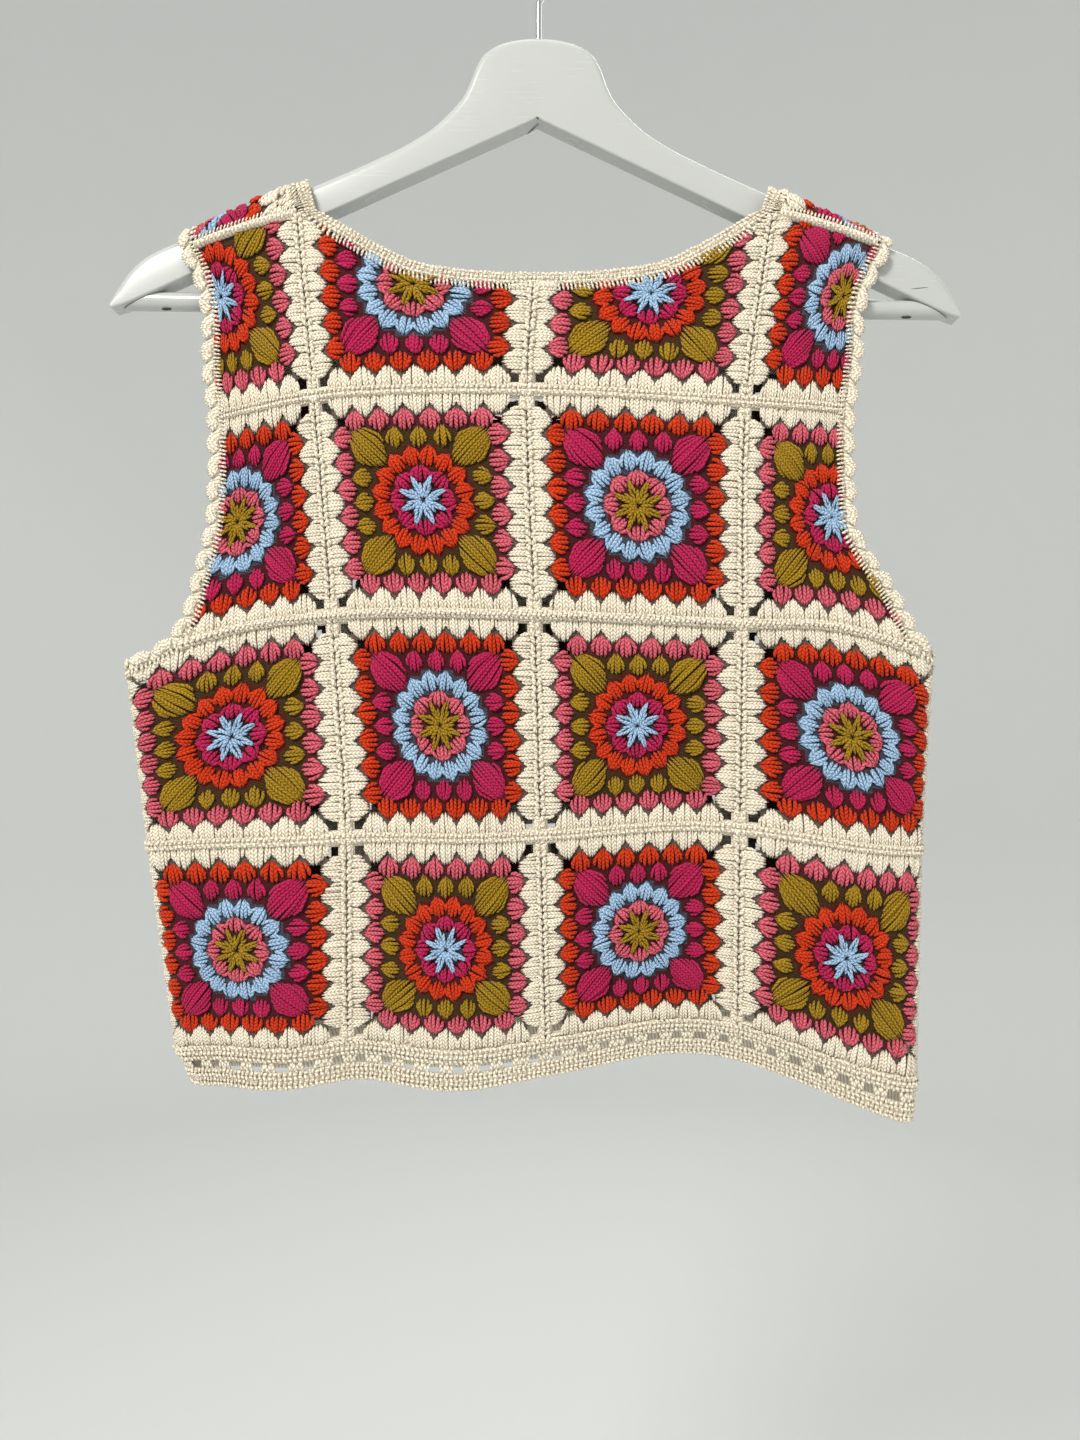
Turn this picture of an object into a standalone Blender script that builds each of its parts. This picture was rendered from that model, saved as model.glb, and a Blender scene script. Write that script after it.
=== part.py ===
"""A sleeveless vest of crocheted motif squares, hung on a wooden coat hanger.

Metres, +Z up. The origin is the inside top of the hook, where a rail carries the hanger. The back
of the vest faces -Y and its front +Y. Each of the two panels is laid out in a flat plane of its
own, x across and h up, and drape() hangs that plane: over the hanger's arm, round the side of the
garment and into its folds. The squares, joins, edgings and hem are walls cut from those panels.
"""

import math

import bpy
import numpy as np
from mathutils import Vector
from mathutils.geometry import delaunay_2d_cdt

BACK, FRONT = -1, 1

# The crocheted wall, and the space between pieces that are worked together
WALL = 0.0022
GAP = 0.0003
CURVE_GAP = 0.0005  # along curved edges, whose facets stray a little from the curve
RAISED = 0.0014  # how far joins and seams stand above the squares
JOIN_HALF = 0.0025  # half the height of a join between rows
JOIN_STATIONS, JOIN_SEARCH_STEPS = 31, 1201

# The layout: columns are counted in squares from the left edge, rows in squares from the shoulder
COLUMNS = (0.0, 0.5, 1.0, 2.0, 3.0, 3.5, 4.0)
HEM_ROW = 4
SEAM_X = (  # one line for each seam between rows, its x at each of COLUMNS
    (-0.1930, -0.1750, -0.1270, 0.0020, 0.1225, 0.1690, 0.1890),  # shoulder
    (-0.1850, -0.1565, -0.1160, -0.0060, 0.1070, 0.1505, 0.1790),  # under row 1
    (-0.2215, -0.1575, -0.1065, -0.0020, 0.1050, 0.1565, 0.2125),  # under row 2
    (-0.2105, -0.1585, -0.0990, 0.0010, 0.1040, 0.1650, 0.2060),  # under row 3
    (-0.1960, -0.1510, -0.0985, 0.0035, 0.1030, 0.1515, 0.2020),  # top of the hem
    (-0.1860, -0.1490, -0.0980, 0.0040, 0.1030, 0.1515, 0.1985),  # foot of the hem
)
SEAM_H = {  # the same seams' height h at each of COLUMNS
    BACK: (
        (-0.1475, -0.1410, -0.1385, -0.1455, -0.1485, -0.1430, -0.1460),
        (-0.2670, -0.2605, -0.2530, -0.2500, -0.2560, -0.2585, -0.2620),
        (-0.3940, -0.3740, -0.3670, -0.3665, -0.3710, -0.3730, -0.3910),
        (-0.4865, -0.4835, -0.4815, -0.4800, -0.4770, -0.4855, -0.4880),
        (-0.5910, -0.5865, -0.5870, -0.5845, -0.5805, -0.5935, -0.6030),
        (-0.6085, -0.6060, -0.6065, -0.6030, -0.5985, -0.6125, -0.6255),
    ),
    FRONT: (
        (-0.1000, -0.1000, -0.1000, -0.1100, -0.1000, -0.1000, -0.1000),
        (-0.2300, -0.2260, -0.2300, -0.2380, -0.2300, -0.2260, -0.2300),
        (-0.3940, -0.3680, -0.3560, -0.3560, -0.3600, -0.3680, -0.3910),
        (-0.4865, -0.4790, -0.4740, -0.4720, -0.4720, -0.4810, -0.4880),
        (-0.5910, -0.5865, -0.5870, -0.5845, -0.5805, -0.5935, -0.6030),
        (-0.6085, -0.6060, -0.6065, -0.6030, -0.5985, -0.6125, -0.6255),
    ),
}
BOTTOM_ROW_SAG = 0.003
FRONT_TOP_EXTRA = 0.1  # rows of the front's outer squares that reach past the shoulder line

# How far the middle of the wall stands from the garment's middle plane: height, middle, edge
HALF_DEPTH = (
    (-0.630, 0.0150, 0.0140),
    (-0.400, 0.0135, 0.0125),
    (-0.330, 0.0135, 0.0095),
    (-0.260, 0.0130, 0.0080),
    (-0.200, 0.0120, 0.0089),
    (-0.130, 0.0100, 0.0089),
)
MIDDLE_X, EDGE_X = 0.100, 0.190
SIDE_WRAP = 0.017  # length of cloth that turns round each side, to the side seam
SIDE_WIDTH = SIDE_WRAP * 2 / math.pi

# The largest folds: centre across, half width, how far the wall moves along +Y at the hem
FOLDS = ((-0.135, 0.030, -0.008), (-0.092, 0.022, 0.004), (-0.039, 0.036, -0.010),
         (0.070, 0.045, 0.008), (0.182, 0.030, -0.008))
FOLDS_START, FOLDS_FULL = -0.42, -0.62
FRONT_FOLD_SHARE = 0.6
FOLD_DROP = 0.4  # a fold towards the back hangs lower, by this share of its depth

# Openings in the panels, as (x, h) along their edges, from the shoulder seam down
BACK_NECK = ((-0.1155, -0.1560), (-0.1100, -0.1585), (-0.1018, -0.1633), (-0.0827, -0.1744),
             (-0.0642, -0.1829), (-0.0410, -0.1870), (0.0, -0.1890), (0.0410, -0.1870),
             (0.0642, -0.1829), (0.0827, -0.1744), (0.1018, -0.1633), (0.1100, -0.1585),
             (0.1155, -0.1560))
FRONT_NECK = ((-0.1205, -0.1360), (-0.1190, -0.1550), (-0.1120, -0.1750), (-0.0980, -0.1940),
              (-0.0750, -0.2070), (-0.0400, -0.2122), (0.0, -0.2130), (0.0400, -0.2122),
              (0.0750, -0.2070), (0.0980, -0.1940), (0.1120, -0.1750), (0.1190, -0.1550),
              (0.1205, -0.1360))
LEFT_ARMHOLE = ((-0.1870, -0.1775), (-0.1800, -0.1900), (-0.1760, -0.2050), (-0.1750, -0.2370),
                (-0.1725, -0.2620), (-0.1720, -0.3000), (-0.1730, -0.3180), (-0.1790, -0.3430),
                (-0.1850, -0.3650), (-0.1930, -0.3780), (-0.2070, -0.3860), (-0.2215, -0.3900))
RIGHT_ARMHOLE = ((0.1840, -0.1765), (0.1765, -0.1900), (0.1710, -0.2030), (0.1690, -0.2320),
                 (0.1650, -0.2600), (0.1650, -0.3000), (0.1670, -0.3220), (0.1750, -0.3360),
                 (0.1840, -0.3490), (0.1930, -0.3660), (0.2000, -0.3780), (0.2125, -0.3860))
FRONT_ARMHOLE_WIDER = 0.004
NECK_WIDTH = 0.010
NECK_SPACING = 0.0062
ARMHOLE_WIDTH = 0.009
NORMAL_EASE = 0.018  # length over which an edging turns square to the seam at its end
SHELL = 0.0095  # length of one shell of the armhole edging
SHELL_RISE = 0.0016
STATIONS_A_SHELL = 2

# The shoulder seam on the back: its height falls from the neck outwards
SEAM_NECK_X, SEAM_NECK_H = 0.116, -0.1560
SEAM_SLOPE, SEAM_BEND = 0.1615, 1.95
SEAM_HALF = 0.0020
SEAM_END_GAP = 0.0013  # the edgings cross its two ends at a slant
SEAM_STATIONS = 15

# Gaps of a square that are over 4 mm, from its centre as a share of its width and height
CORNER_GAP = (0.358, 0.342, 0.0030, 0.0032)
CROSSING_GAP = (0.434, 0.439, 0.0024, 0.0024)
GAP_MARGIN = 0.0016  # of wall that stays between a gap and the wall's edge
SQUARE_WIDTH, SQUARE_HEIGHT = 0.106, 0.114
EYELETS, EYELETS_FROM_TO = 30, (0.2, 3.8)
EYELET_HALF = 0.0022
EYELET_PLACE = 0.45  # down the hem, as a share of its height

# The hanger: top edge x, z and lower edge x, z of half its outline, from the middle to the tip
ARM_STATIONS = (
    (0.0000, -0.0620, 0.0000, -0.1057), (0.0120, -0.0630, 0.0030, -0.1071),
    (0.0220, -0.0660, 0.0070, -0.1089), (0.0290, -0.0710, 0.0110, -0.1108),
    (0.0330, -0.0780, 0.0160, -0.1131), (0.0360, -0.0860, 0.0220, -0.1159),
    (0.0400, -0.0940, 0.0290, -0.1191), (0.0460, -0.1010, 0.0360, -0.1224),
    (0.0550, -0.1095, 0.0460, -0.1270), (0.0680, -0.1180, 0.0600, -0.1335),
    (0.0870, -0.1275, 0.0790, -0.1423), (0.1160, -0.1405, 0.1080, -0.1558),
    (0.1500, -0.1551, 0.1420, -0.1715), (0.1800, -0.1681, 0.1720, -0.1854),
    (0.1970, -0.1748, 0.1880, -0.1928), (0.2060, -0.1800, 0.1970, -0.1970),
    (0.2130, -0.1865, 0.2050, -0.2007), (0.2185, -0.1940, 0.2120, -0.2039),
    (0.2215, -0.2005, 0.2180, -0.2062), (0.2230, -0.2050, 0.2220, -0.2073),
)
HANGER_TILT = math.radians(0.65)  # the right arm hangs a little lower
ARM_HALF_THICKNESS = 0.006
ARM_TOP_RADIUS, ARM_FOOT_RADIUS = 0.005, 0.0012
CORNER_STEPS = 2
UNDERSIDE_SLOPE = 0.4635
BAR_RADIUS = 0.0049
BAR_Z = -0.2018
BAR_SIDES, BAR_STATIONS = 12, 3
BAR_END_GAP = 0.001
WIRE_RADIUS = 0.0015
HOOK_RADIUS = 0.0190  # of the wire's middle
HOOK_FROM, HOOK_TO = math.radians(-50), math.radians(205)
STEM_TOP_Z = -0.044
BEND_REACH = 0.007
ARC_STATIONS, BEND_STATIONS = 18, 7

# How the cloth lies over the hanger's arm
REST_GAP = 0.0006
ARCH_HEIGHT = 0.0079
ARCH_LENGTH = 0.0132  # of cloth, from the top of the arm down to where the panel hangs plumb
ARM_BOW = 0.0026  # how far the shoulder lifts off the arm between its ends
BOW_FROM, BOW_TO = 0.115, 0.190

# Lengths of the walls' facets: where the cloth is flat, in its folds, and where it turns
FLAT_STEP, FOLD_STEP, TURN_STEP = 0.027, 0.019, 0.0042
LONG_STEP = 0.014  # along the line about which the cloth turns
EDGE_STEPS = 25  # along one square's edge
KEPT_EVERY = 4  # of them, where the cloth is flat
CLEARANCE = 0.45  # from a facet's edge to the next point inside, as a share of a step
BELOW_HEM = -0.70
CUT_TOLERANCE = 1e-6

CREAM = (0.83, 0.78, 0.66)
ORANGE = (0.69, 0.04, 0.005)
PINK = (0.74, 0.13, 0.20)
GLOSS_WHITE = (0.80, 0.80, 0.78)
CHROME = (0.62, 0.62, 0.64)


def clear_scene():
    """Removes every object that is in the file."""
    for thing in list(bpy.data.objects):
        bpy.data.objects.remove(thing, do_unlink=True)


def finish(name, colour, roughness, metallic=0.0):
    """A plain material of one colour."""
    material = bpy.data.materials.new(name)
    material.use_nodes = True
    shader = material.node_tree.nodes["Principled BSDF"]
    shader.inputs["Base Color"].default_value = (*colour, 1.0)
    shader.inputs["Roughness"].default_value = roughness
    shader.inputs["Metallic"].default_value = metallic
    return material


def add_object(name, points, faces, material):
    """Makes an object of a closed mesh, its place in the mesh."""
    mesh = bpy.data.meshes.new(name)
    mesh.from_pydata([tuple(map(float, p)) for p in points], [], faces)
    mesh.validate()
    mesh.shade_smooth()
    mesh.set_sharp_from_angle(angle=math.radians(40))
    mesh.materials.append(material)
    thing = bpy.data.objects.new(name, mesh)
    bpy.context.scene.collection.objects.link(thing)
    return thing


def smooth(knots, values, at):
    """A smooth curve through values at knots, along the last axis of values, read at each of at."""
    knots = np.asarray(knots, float)
    at = np.asarray(at, float)
    values = np.broadcast_to(values, at.shape + (len(knots),))
    slopes = np.gradient(values, knots, axis=-1)
    low = np.clip(np.searchsorted(knots, at, side="right") - 1, 0, len(knots) - 2)

    def read(table, index):
        return np.take_along_axis(table, index[..., None], -1)[..., 0]

    span = knots[low + 1] - knots[low]
    t = (at - knots[low]) / span
    return (
        read(values, low) * (1 + 2 * t) * (1 - t) ** 2
        + read(slopes, low) * span * t * (1 - t) ** 2
        + read(values, low + 1) * t * t * (3 - 2 * t)
        + read(slopes, low + 1) * span * t * t * (t - 1)
    )


def ease(t):
    """0 to 1 with level ends."""
    t = np.clip(t, 0, 1)
    return t * t * (3 - 2 * t)


def lay_out(side, column, row):
    """The (x, h) of a place given in squares from the left edge and from the shoulder."""
    column, row = np.broadcast_arrays(np.asarray(column, float), np.asarray(row, float))
    rows = np.arange(len(SEAM_X))
    x_seams, h_seams = np.array(SEAM_X).T, np.array(SEAM_H[side]).T
    x = smooth(COLUMNS, smooth(rows, x_seams, row[..., None] + np.zeros(len(COLUMNS))), column)
    h = smooth(COLUMNS, smooth(rows, h_seams, row[..., None] + np.zeros(len(COLUMNS))), column)
    sag = BOTTOM_ROW_SAG * np.sin(math.pi * np.clip(row - HEM_ROW + 1, 0, 1))
    return np.stack([x, h - sag], -1)


def edge_x(h, column):
    """x of the side seam of the flat panel at height h: column 0 on the left, -1 on the right."""
    heights = [line[column] for line in SEAM_H[BACK][2:]]
    places = [line[column] for line in SEAM_X[2:]]
    return np.interp(h, heights[::-1], places[::-1])


def tilted(x, z):
    """A point of the hanger, turned about the foot of its hook."""
    pivot = ARM_STATIONS[0][1]
    turned_x = x * math.cos(HANGER_TILT) + (z - pivot) * math.sin(HANGER_TILT)
    turned_z = pivot + (z - pivot) * math.cos(HANGER_TILT) - x * math.sin(HANGER_TILT)
    return turned_x, turned_z


def arm_top(x):
    """Height of the top of the hanger's arms at x."""
    half = np.array(ARM_STATIONS)
    top_x = np.concatenate([-half[:0:-1, 0], half[:, 0]])
    top_z = np.concatenate([half[:0:-1, 1], half[:, 1]])
    return np.interp(x, *tilted(top_x, top_z))


def spring_height(x):
    """h where a panel stops hanging plumb and begins to turn over the arm."""
    bow = ARM_BOW * np.sin(math.pi * np.clip((np.abs(x) - BOW_FROM) / (BOW_TO - BOW_FROM), 0, 1))
    return arm_top(x) + REST_GAP + WALL / 2 + bow - ARCH_HEIGHT


def half_depth(x, h):
    """Distance of the wall's middle from the garment's middle plane."""
    heights, middles, edges = np.array(HALF_DEPTH).T
    share = ease((np.abs(x) - MIDDLE_X) / (EDGE_X - MIDDLE_X))
    return np.interp(h, heights, middles) * (1 - share) + np.interp(h, heights, edges) * share


def side_distance(x, h):
    """Length of cloth between (x, h) and the nearer side seam."""
    return np.maximum(np.minimum(x - edge_x(h, 0), edge_x(h, -1) - x), 0)


def drape_middle(side, x, h):
    """Hangs points (x, h) of a panel: the middle of its wall, as points in space."""
    side, x, h = np.broadcast_arrays(side, np.asarray(x, float), np.asarray(h, float))
    spring = spring_height(x)
    apex = spring + ARCH_LENGTH
    side = np.where(h > apex, -side, side)
    h = np.where(h > apex, 2 * apex - h, h)

    distance = side_distance(x, h)
    turn = np.clip(distance / SIDE_WRAP, 0, 1) * math.pi / 2
    inward = SIDE_WIDTH * (1 - np.cos(turn)) - np.minimum(distance, SIDE_WRAP)
    inward += SIDE_WRAP - SIDE_WIDTH

    fold = sum(depth * np.exp(-(((x - centre) / width) ** 2)) for centre, width, depth in FOLDS)
    fold = fold * np.clip((FOLDS_START - h) / (FOLDS_START - FOLDS_FULL), 0, 1) ** 1.3
    flat_share = np.sin(turn)
    fold = fold * np.where(side == FRONT, 1 - (1 - FRONT_FOLD_SHARE) * flat_share, 1)

    over = np.clip((apex - h) / ARCH_LENGTH, 0, 1) * math.pi / 2
    depth = np.where(h > spring, half_depth(x, spring), half_depth(x, h))
    y = side * depth * flat_share * np.sin(over) + fold
    z = np.where(h > spring, spring + ARCH_HEIGHT * np.cos(over), h) + FOLD_DROP * fold
    return np.stack([x - np.sign(x) * inward, y, z], -1)


def drape(side, x, h, out):
    """Hangs points (x, h) of a panel and moves them outwards by out."""
    step = 1e-5
    across = drape_middle(side, x + step, h) - drape_middle(side, x - step, h)
    up = drape_middle(side, x, h + step) - drape_middle(side, x, h - step)
    outward = np.cross(across, up) * -np.asarray(side)[..., None]
    outward /= np.linalg.norm(outward, axis=-1, keepdims=True)
    return drape_middle(side, x, h) + outward * np.asarray(out)[..., None]


def shoulder_seam_h(x):
    """Height of the shoulder seam on the back."""
    outward = np.abs(x) - SEAM_NECK_X
    return SEAM_NECK_H - SEAM_SLOPE * outward - SEAM_BEND * outward**2


def on_front(x, h):
    """The h of the front panel that lies where h of the back panel does."""
    return 2 * (spring_height(x) + ARCH_LENGTH) - h


def seam_line(side, x, offset=0.0):
    """Points (x, h) of one panel along the shoulder seam, moved up by offset."""
    h = shoulder_seam_h(x) + offset
    return np.stack([x, on_front(x, h) if side == FRONT else h], -1)


def even_points(path, spacing):
    """Points spaced evenly along a smooth curve through path, ends included."""
    path = np.array(path)
    along = np.concatenate([[0], np.cumsum(np.linalg.norm(np.diff(path, axis=0), axis=1))])
    fine = np.linspace(0, along[-1], 400)
    curve = np.stack([smooth(along, path[:, i], fine) for i in (0, 1)], -1)
    length = np.concatenate([[0], np.cumsum(np.linalg.norm(np.diff(curve, axis=0), axis=1))])
    at = np.linspace(0, length[-1], max(2, round(length[-1] / spacing)) + 1)
    return np.stack([np.interp(at, length, curve[:, i]) for i in (0, 1)], -1)


def inward_normals(points, first, last, towards):
    """Unit vectors across a path into the cloth, eased to the given ones at its two ends."""
    along = np.gradient(points, axis=0)
    normals = np.stack([-along[:, 1], along[:, 0]], -1) * towards
    normals /= np.linalg.norm(normals, axis=1, keepdims=True)
    steps = np.linalg.norm(np.diff(points, axis=0), axis=1)
    from_first = np.concatenate([[0], np.cumsum(steps)])
    for end, distance in ((first, from_first), (last, from_first[-1] - from_first)):
        share = ease(distance / NORMAL_EASE)[:, None]
        normals = normals * share + np.array(end) * (1 - share)
        normals /= np.linalg.norm(normals, axis=1, keepdims=True)
    return normals


def seam_direction(x, side):
    """Unit vector along the shoulder seam in a panel's plane, away from the neck."""
    ends = seam_line(side, np.array([x, x + math.copysign(SEAM_HALF, x)]))
    step = ends[1] - ends[0]
    return step / np.linalg.norm(step)


def neck_path(side):
    """Edge of the neck opening in one panel, left to right, and its normals into the cloth."""
    path = list(BACK_NECK if side == BACK else FRONT_NECK)
    ends = (BACK_NECK[0], BACK_NECK[-1])
    if side == FRONT:
        over = [(x, float(on_front(x, h))) for x, h in ends]
        path = [over[0], *path, over[1]]
    points = even_points(path, NECK_SPACING)
    directions = [seam_direction(x, side) for x, _ in ends]
    return points, inward_normals(points, *directions, towards=-1)


def armhole_path(side, places, column):
    """Edge of an armhole in one panel, from the shoulder to the side, and its normals."""
    path = np.array(places)
    outwards = 1 if column else -1
    if side == FRONT:
        share = np.sin(np.linspace(0, math.pi, len(path)))
        path[:, 0] += outwards * FRONT_ARMHOLE_WIDER * share
        x, h = path[0]
        top = [(x, float(on_front(x, h))), (x, float(spring_height(x) + ARCH_LENGTH))]
        path = np.array([*top, *path])
    points = even_points(path, SHELL / STATIONS_A_SHELL)
    down = np.array([edge_x(-0.42, column) - edge_x(-0.40, column), -0.02])
    first = -seam_direction(places[0][0], side)
    normals = inward_normals(points, first, down / np.linalg.norm(down), towards=-outwards)
    return points, normals


ARMHOLES = {"left": (LEFT_ARMHOLE, 0), "right": (RIGHT_ARMHOLE, -1)}


def panel_outline(side):
    """The outline inside which squares and joins lie, as a polygon of (x, h)."""
    neck, neck_normals = neck_path(side)
    neck = neck + neck_normals * (NECK_WIDTH + CURVE_GAP)
    sides = {}
    for name, (places, column) in ARMHOLES.items():
        points, normals = armhole_path(side, places, column)
        edge = points + normals * (ARMHOLE_WIDTH + CURVE_GAP)
        margin = JOIN_HALF + GAP
        inwards = -1 if column else 1
        edge = edge[side_distance(edge[:, 0], edge[:, 1]) > margin]
        heights = np.arange(edge[-1, 1] - TURN_STEP, BELOW_HEM, -LONG_STEP)
        down = np.stack([edge_x(heights, column) + inwards * margin, heights], -1)
        sides[name] = np.concatenate([edge, down])
    left = seam_line(side, np.linspace(sides["left"][0, 0], neck[0, 0], SEAM_STATIONS)[1:-1])
    right = seam_line(side, np.linspace(neck[-1, 0], sides["right"][0, 0], SEAM_STATIONS)[1:-1])
    return np.concatenate([sides["left"][::-1], left, neck, right, sides["right"]])


def seam_zones(side):
    """The two strips of a panel that the shoulder seams take up, as polygons of (x, h)."""
    zones = []
    for sign in (-1, 1):
        x = sign * np.linspace(SEAM_NECK_X - SEAM_HALF, EDGE_X + SEAM_HALF, SEAM_STATIONS)
        lower, upper = (seam_line(side, x, share * (SEAM_HALF + GAP)) for share in (-1, 1))
        zones.append(np.concatenate([lower, upper[::-1]]))
    return zones


def is_inside(points, polygon):
    """True for each of points that lies inside the polygon."""
    x, y = points[:, 0, None], points[:, 1, None]
    x0, y0 = polygon[:, 0], polygon[:, 1]
    x1, y1 = np.roll(x0, -1), np.roll(y0, -1)
    crosses = (y0 > y) != (y1 > y)
    with np.errstate(divide="ignore", invalid="ignore"):
        meets = x < (x1 - x0) * (y - y0) / (y1 - y0) + x0
    return (crosses & meets).sum(1) % 2 == 1


def over_arm(points):
    """True where the cloth turns over the hanger's arm."""
    return points[:, 1] > spring_height(points[:, 0]) - TURN_STEP


def round_side(points):
    """True where the cloth turns round the side, below the arm."""
    return (side_distance(points[:, 0], points[:, 1]) < SIDE_WRAP) & ~over_arm(points)


def turns(points):
    """True where the cloth turns over the arm or round the side."""
    return over_arm(points) | round_side(points)


def is_flat(points):
    """True where the cloth doesn't turn."""
    return ~turns(points)


def thinned(points, needed):
    """A line's points, all kept where they are needed and else one in every few."""
    keep = needed(points)
    keep[::KEPT_EVERY] = True
    keep[-1] = True
    return points[keep]


def cell_outline(side, column_from, column_to, row_from, row_to, inset_h):
    """Polygon of (x, h) round a stretch of the panel, its rows' ends moved in by inset_h."""
    across = np.linspace(column_from, column_to, EDGE_STEPS * (column_to - column_from) + 1)
    upright = np.linspace(row_from, row_to, EDGE_STEPS)
    top = lay_out(side, across, row_from) - (0, inset_h)
    foot = lay_out(side, across, row_to) + (0, inset_h)
    for line in (top, foot):
        line[[0, -1], 0] += (GAP / 2, -GAP / 2)
    right = lay_out(side, column_to, upright)[1:-1] - (GAP / 2, 0)
    left = lay_out(side, column_from, upright)[1:-1] + (GAP / 2, 0)
    lines = ((top, turns), (right, over_arm), (foot[::-1], turns), (left[::-1], over_arm))
    return np.concatenate([thinned(line, needed) for line, needed in lines])


def spread_points(polygon, lines, spacing):
    """Points inside a polygon, closer together where the cloth turns, clear of its lines."""
    low, high = polygon.min(0), polygon.max(0)
    picked = []
    for steps, wanted in (
        ((spacing, spacing), is_flat),
        ((LONG_STEP, TURN_STEP), over_arm),
        ((TURN_STEP, LONG_STEP), round_side),
    ):
        counts = np.maximum(np.round((high - low) / steps), 2).astype(int) + 1
        lines_of = [np.linspace(low[i], high[i], counts[i]) for i in (0, 1)]
        grid = np.stack(np.meshgrid(*lines_of), -1).reshape(-1, 2)
        grid = grid[wanted(grid) & is_inside(grid, polygon)]
        nearest = np.linalg.norm(grid[:, None] - lines, axis=-1).min(1)
        picked.append(grid[nearest > CLEARANCE * min(steps)])
    return np.concatenate(picked)


def cut_faces(polygon, outline, holes, spacing):
    """Triangles that fill polygon inside outline, without the holes: (x, h) points and faces."""
    low, high = polygon.min(0) - spacing, polygon.max(0) + spacing
    points, edges = [], []
    for loop in (polygon, *holes):
        start = len(points)
        points += list(loop)
        edges += [(start + i, start + (i + 1) % len(loop)) for i in range(len(loop))]
    for a, b in zip(outline, np.roll(outline, -1, axis=0), strict=True):
        if np.all(np.maximum(a, b) > low) and np.all(np.minimum(a, b) < high):
            points += [a, b]
            edges.append((len(points) - 2, len(points) - 1))
    inner = spread_points(polygon, np.array(points), spacing)
    points += list(inner[is_inside(inner, outline)])
    flat, _, triangles, *_ = delaunay_2d_cdt([Vector(p) for p in points], edges, [], 0, CUT_TOLERANCE)
    flat = np.array([tuple(p) for p in flat])
    triangles = np.array([tuple(t) for t in triangles])
    centres = flat[triangles].mean(1)
    keep = is_inside(centres, polygon) & is_inside(centres, outline)
    for hole in holes:
        keep &= ~is_inside(centres, hole)
    return flat, largest_piece(triangles[keep])


def largest_piece(triangles):
    """The triangles of the largest group that hangs together by its edges."""
    owner = {}
    groups = list(range(len(triangles)))

    def root(i):
        while groups[i] != i:
            i = groups[i]
        return i

    for i, triangle in enumerate(triangles):
        for a, b in zip(triangle, np.roll(triangle, -1), strict=True):
            other = owner.setdefault(frozenset((a, b)), i)
            groups[root(i)] = root(other)
    roots = np.array([root(i) for i in range(len(triangles))])
    names, counts = np.unique(roots, return_counts=True)
    return triangles[roots == names[counts.argmax()]]


def wall_from_faces(name, side, flat, triangles, material, raised=0.0):
    """A closed wall on a panel: an outer and an inner face, joined round every edge."""
    used, triangles = np.unique(triangles, return_inverse=True)
    triangles = triangles.reshape(-1, 3)
    flat = flat[used]
    side = np.full(len(flat), side)
    outer = drape(side, flat[:, 0], flat[:, 1], np.full(len(flat), WALL / 2 + raised))
    inner = drape(side, flat[:, 0], flat[:, 1], np.full(len(flat), -WALL / 2))
    a, b, c = (flat[triangles[:, i]] for i in range(3))
    area = (b[:, 0] - a[:, 0]) * (c[:, 1] - a[:, 1]) - (b[:, 1] - a[:, 1]) * (c[:, 0] - a[:, 0])
    out_is_left = side[0] == BACK
    triangles = np.where(((area > 0) == out_is_left)[:, None], triangles, triangles[:, ::-1])
    count = len(flat)
    faces = [tuple(map(int, t)) for t in triangles]
    faces += [tuple(int(i) + count for i in t[::-1]) for t in triangles]
    borders = {(a, b) for t in triangles for a, b in zip(t, np.roll(t, -1), strict=True)}
    for a, b in sorted((int(a), int(b)) for a, b in borders if (b, a) not in borders):
        faces.append((a, a + count, b + count, b))
    return add_object(name, np.concatenate([outer, inner]), faces, material)


def slab(name, outer, inner, material, closed=False):
    """A closed wall between two grids of points, each of rows by columns, closed along its rows."""
    rows, columns = outer.shape[:2]
    points = np.concatenate([outer.reshape(-1, 3), inner.reshape(-1, 3)])

    def at(layer, row, column):
        return layer * rows * columns + row % rows * columns + column

    faces = []
    spans = rows if closed else rows - 1
    for r in range(spans):
        for c in range(columns - 1):
            faces.append((at(0, r, c), at(0, r + 1, c), at(0, r + 1, c + 1), at(0, r, c + 1)))
            faces.append((at(1, r, c), at(1, r, c + 1), at(1, r + 1, c + 1), at(1, r + 1, c)))
        last = columns - 1
        faces.append((at(0, r, 0), at(1, r, 0), at(1, r + 1, 0), at(0, r + 1, 0)))
        faces.append((at(0, r, last), at(0, r + 1, last), at(1, r + 1, last), at(1, r, last)))
    if not closed:
        for c in range(columns - 1):
            end = rows - 1
            faces.append((at(0, 0, c), at(0, 0, c + 1), at(1, 0, c + 1), at(1, 0, c)))
            faces.append((at(0, end, c), at(1, end, c), at(1, end, c + 1), at(0, end, c + 1)))
    return add_object(name, points, turned_out(points, faces), material)


def turned_out(points, faces):
    """The faces of a closed mesh, all reversed if they enclose a negative volume."""
    volume = 0.0
    for face in faces:
        for i in range(1, len(face) - 1):
            volume += np.dot(points[face[0]], np.cross(points[face[i]], points[face[i + 1]]))
    return faces if volume > 0 else [face[::-1] for face in faces]


def gap_outlines(side, row, column):
    """The gaps of one square that are cut through, as four-sided outlines of (x, h)."""
    gaps = []
    for across, down, half_x, half_h in (CORNER_GAP, CROSSING_GAP):
        for sign_x, sign_h in ((-1, -1), (1, -1), (1, 1), (-1, 1)):
            u = column + 0.5 + sign_x * across
            v = row + 0.5 + sign_h * down
            reach_u, reach_v = half_x / SQUARE_WIDTH, half_h / SQUARE_HEIGHT
            corners_u = u + np.array([-1, 1, 1, -1]) * reach_u
            corners_v = v + np.array([-1, -1, 1, 1]) * reach_v
            gaps.append(lay_out(side, corners_u, corners_v))
    return gaps


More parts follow.
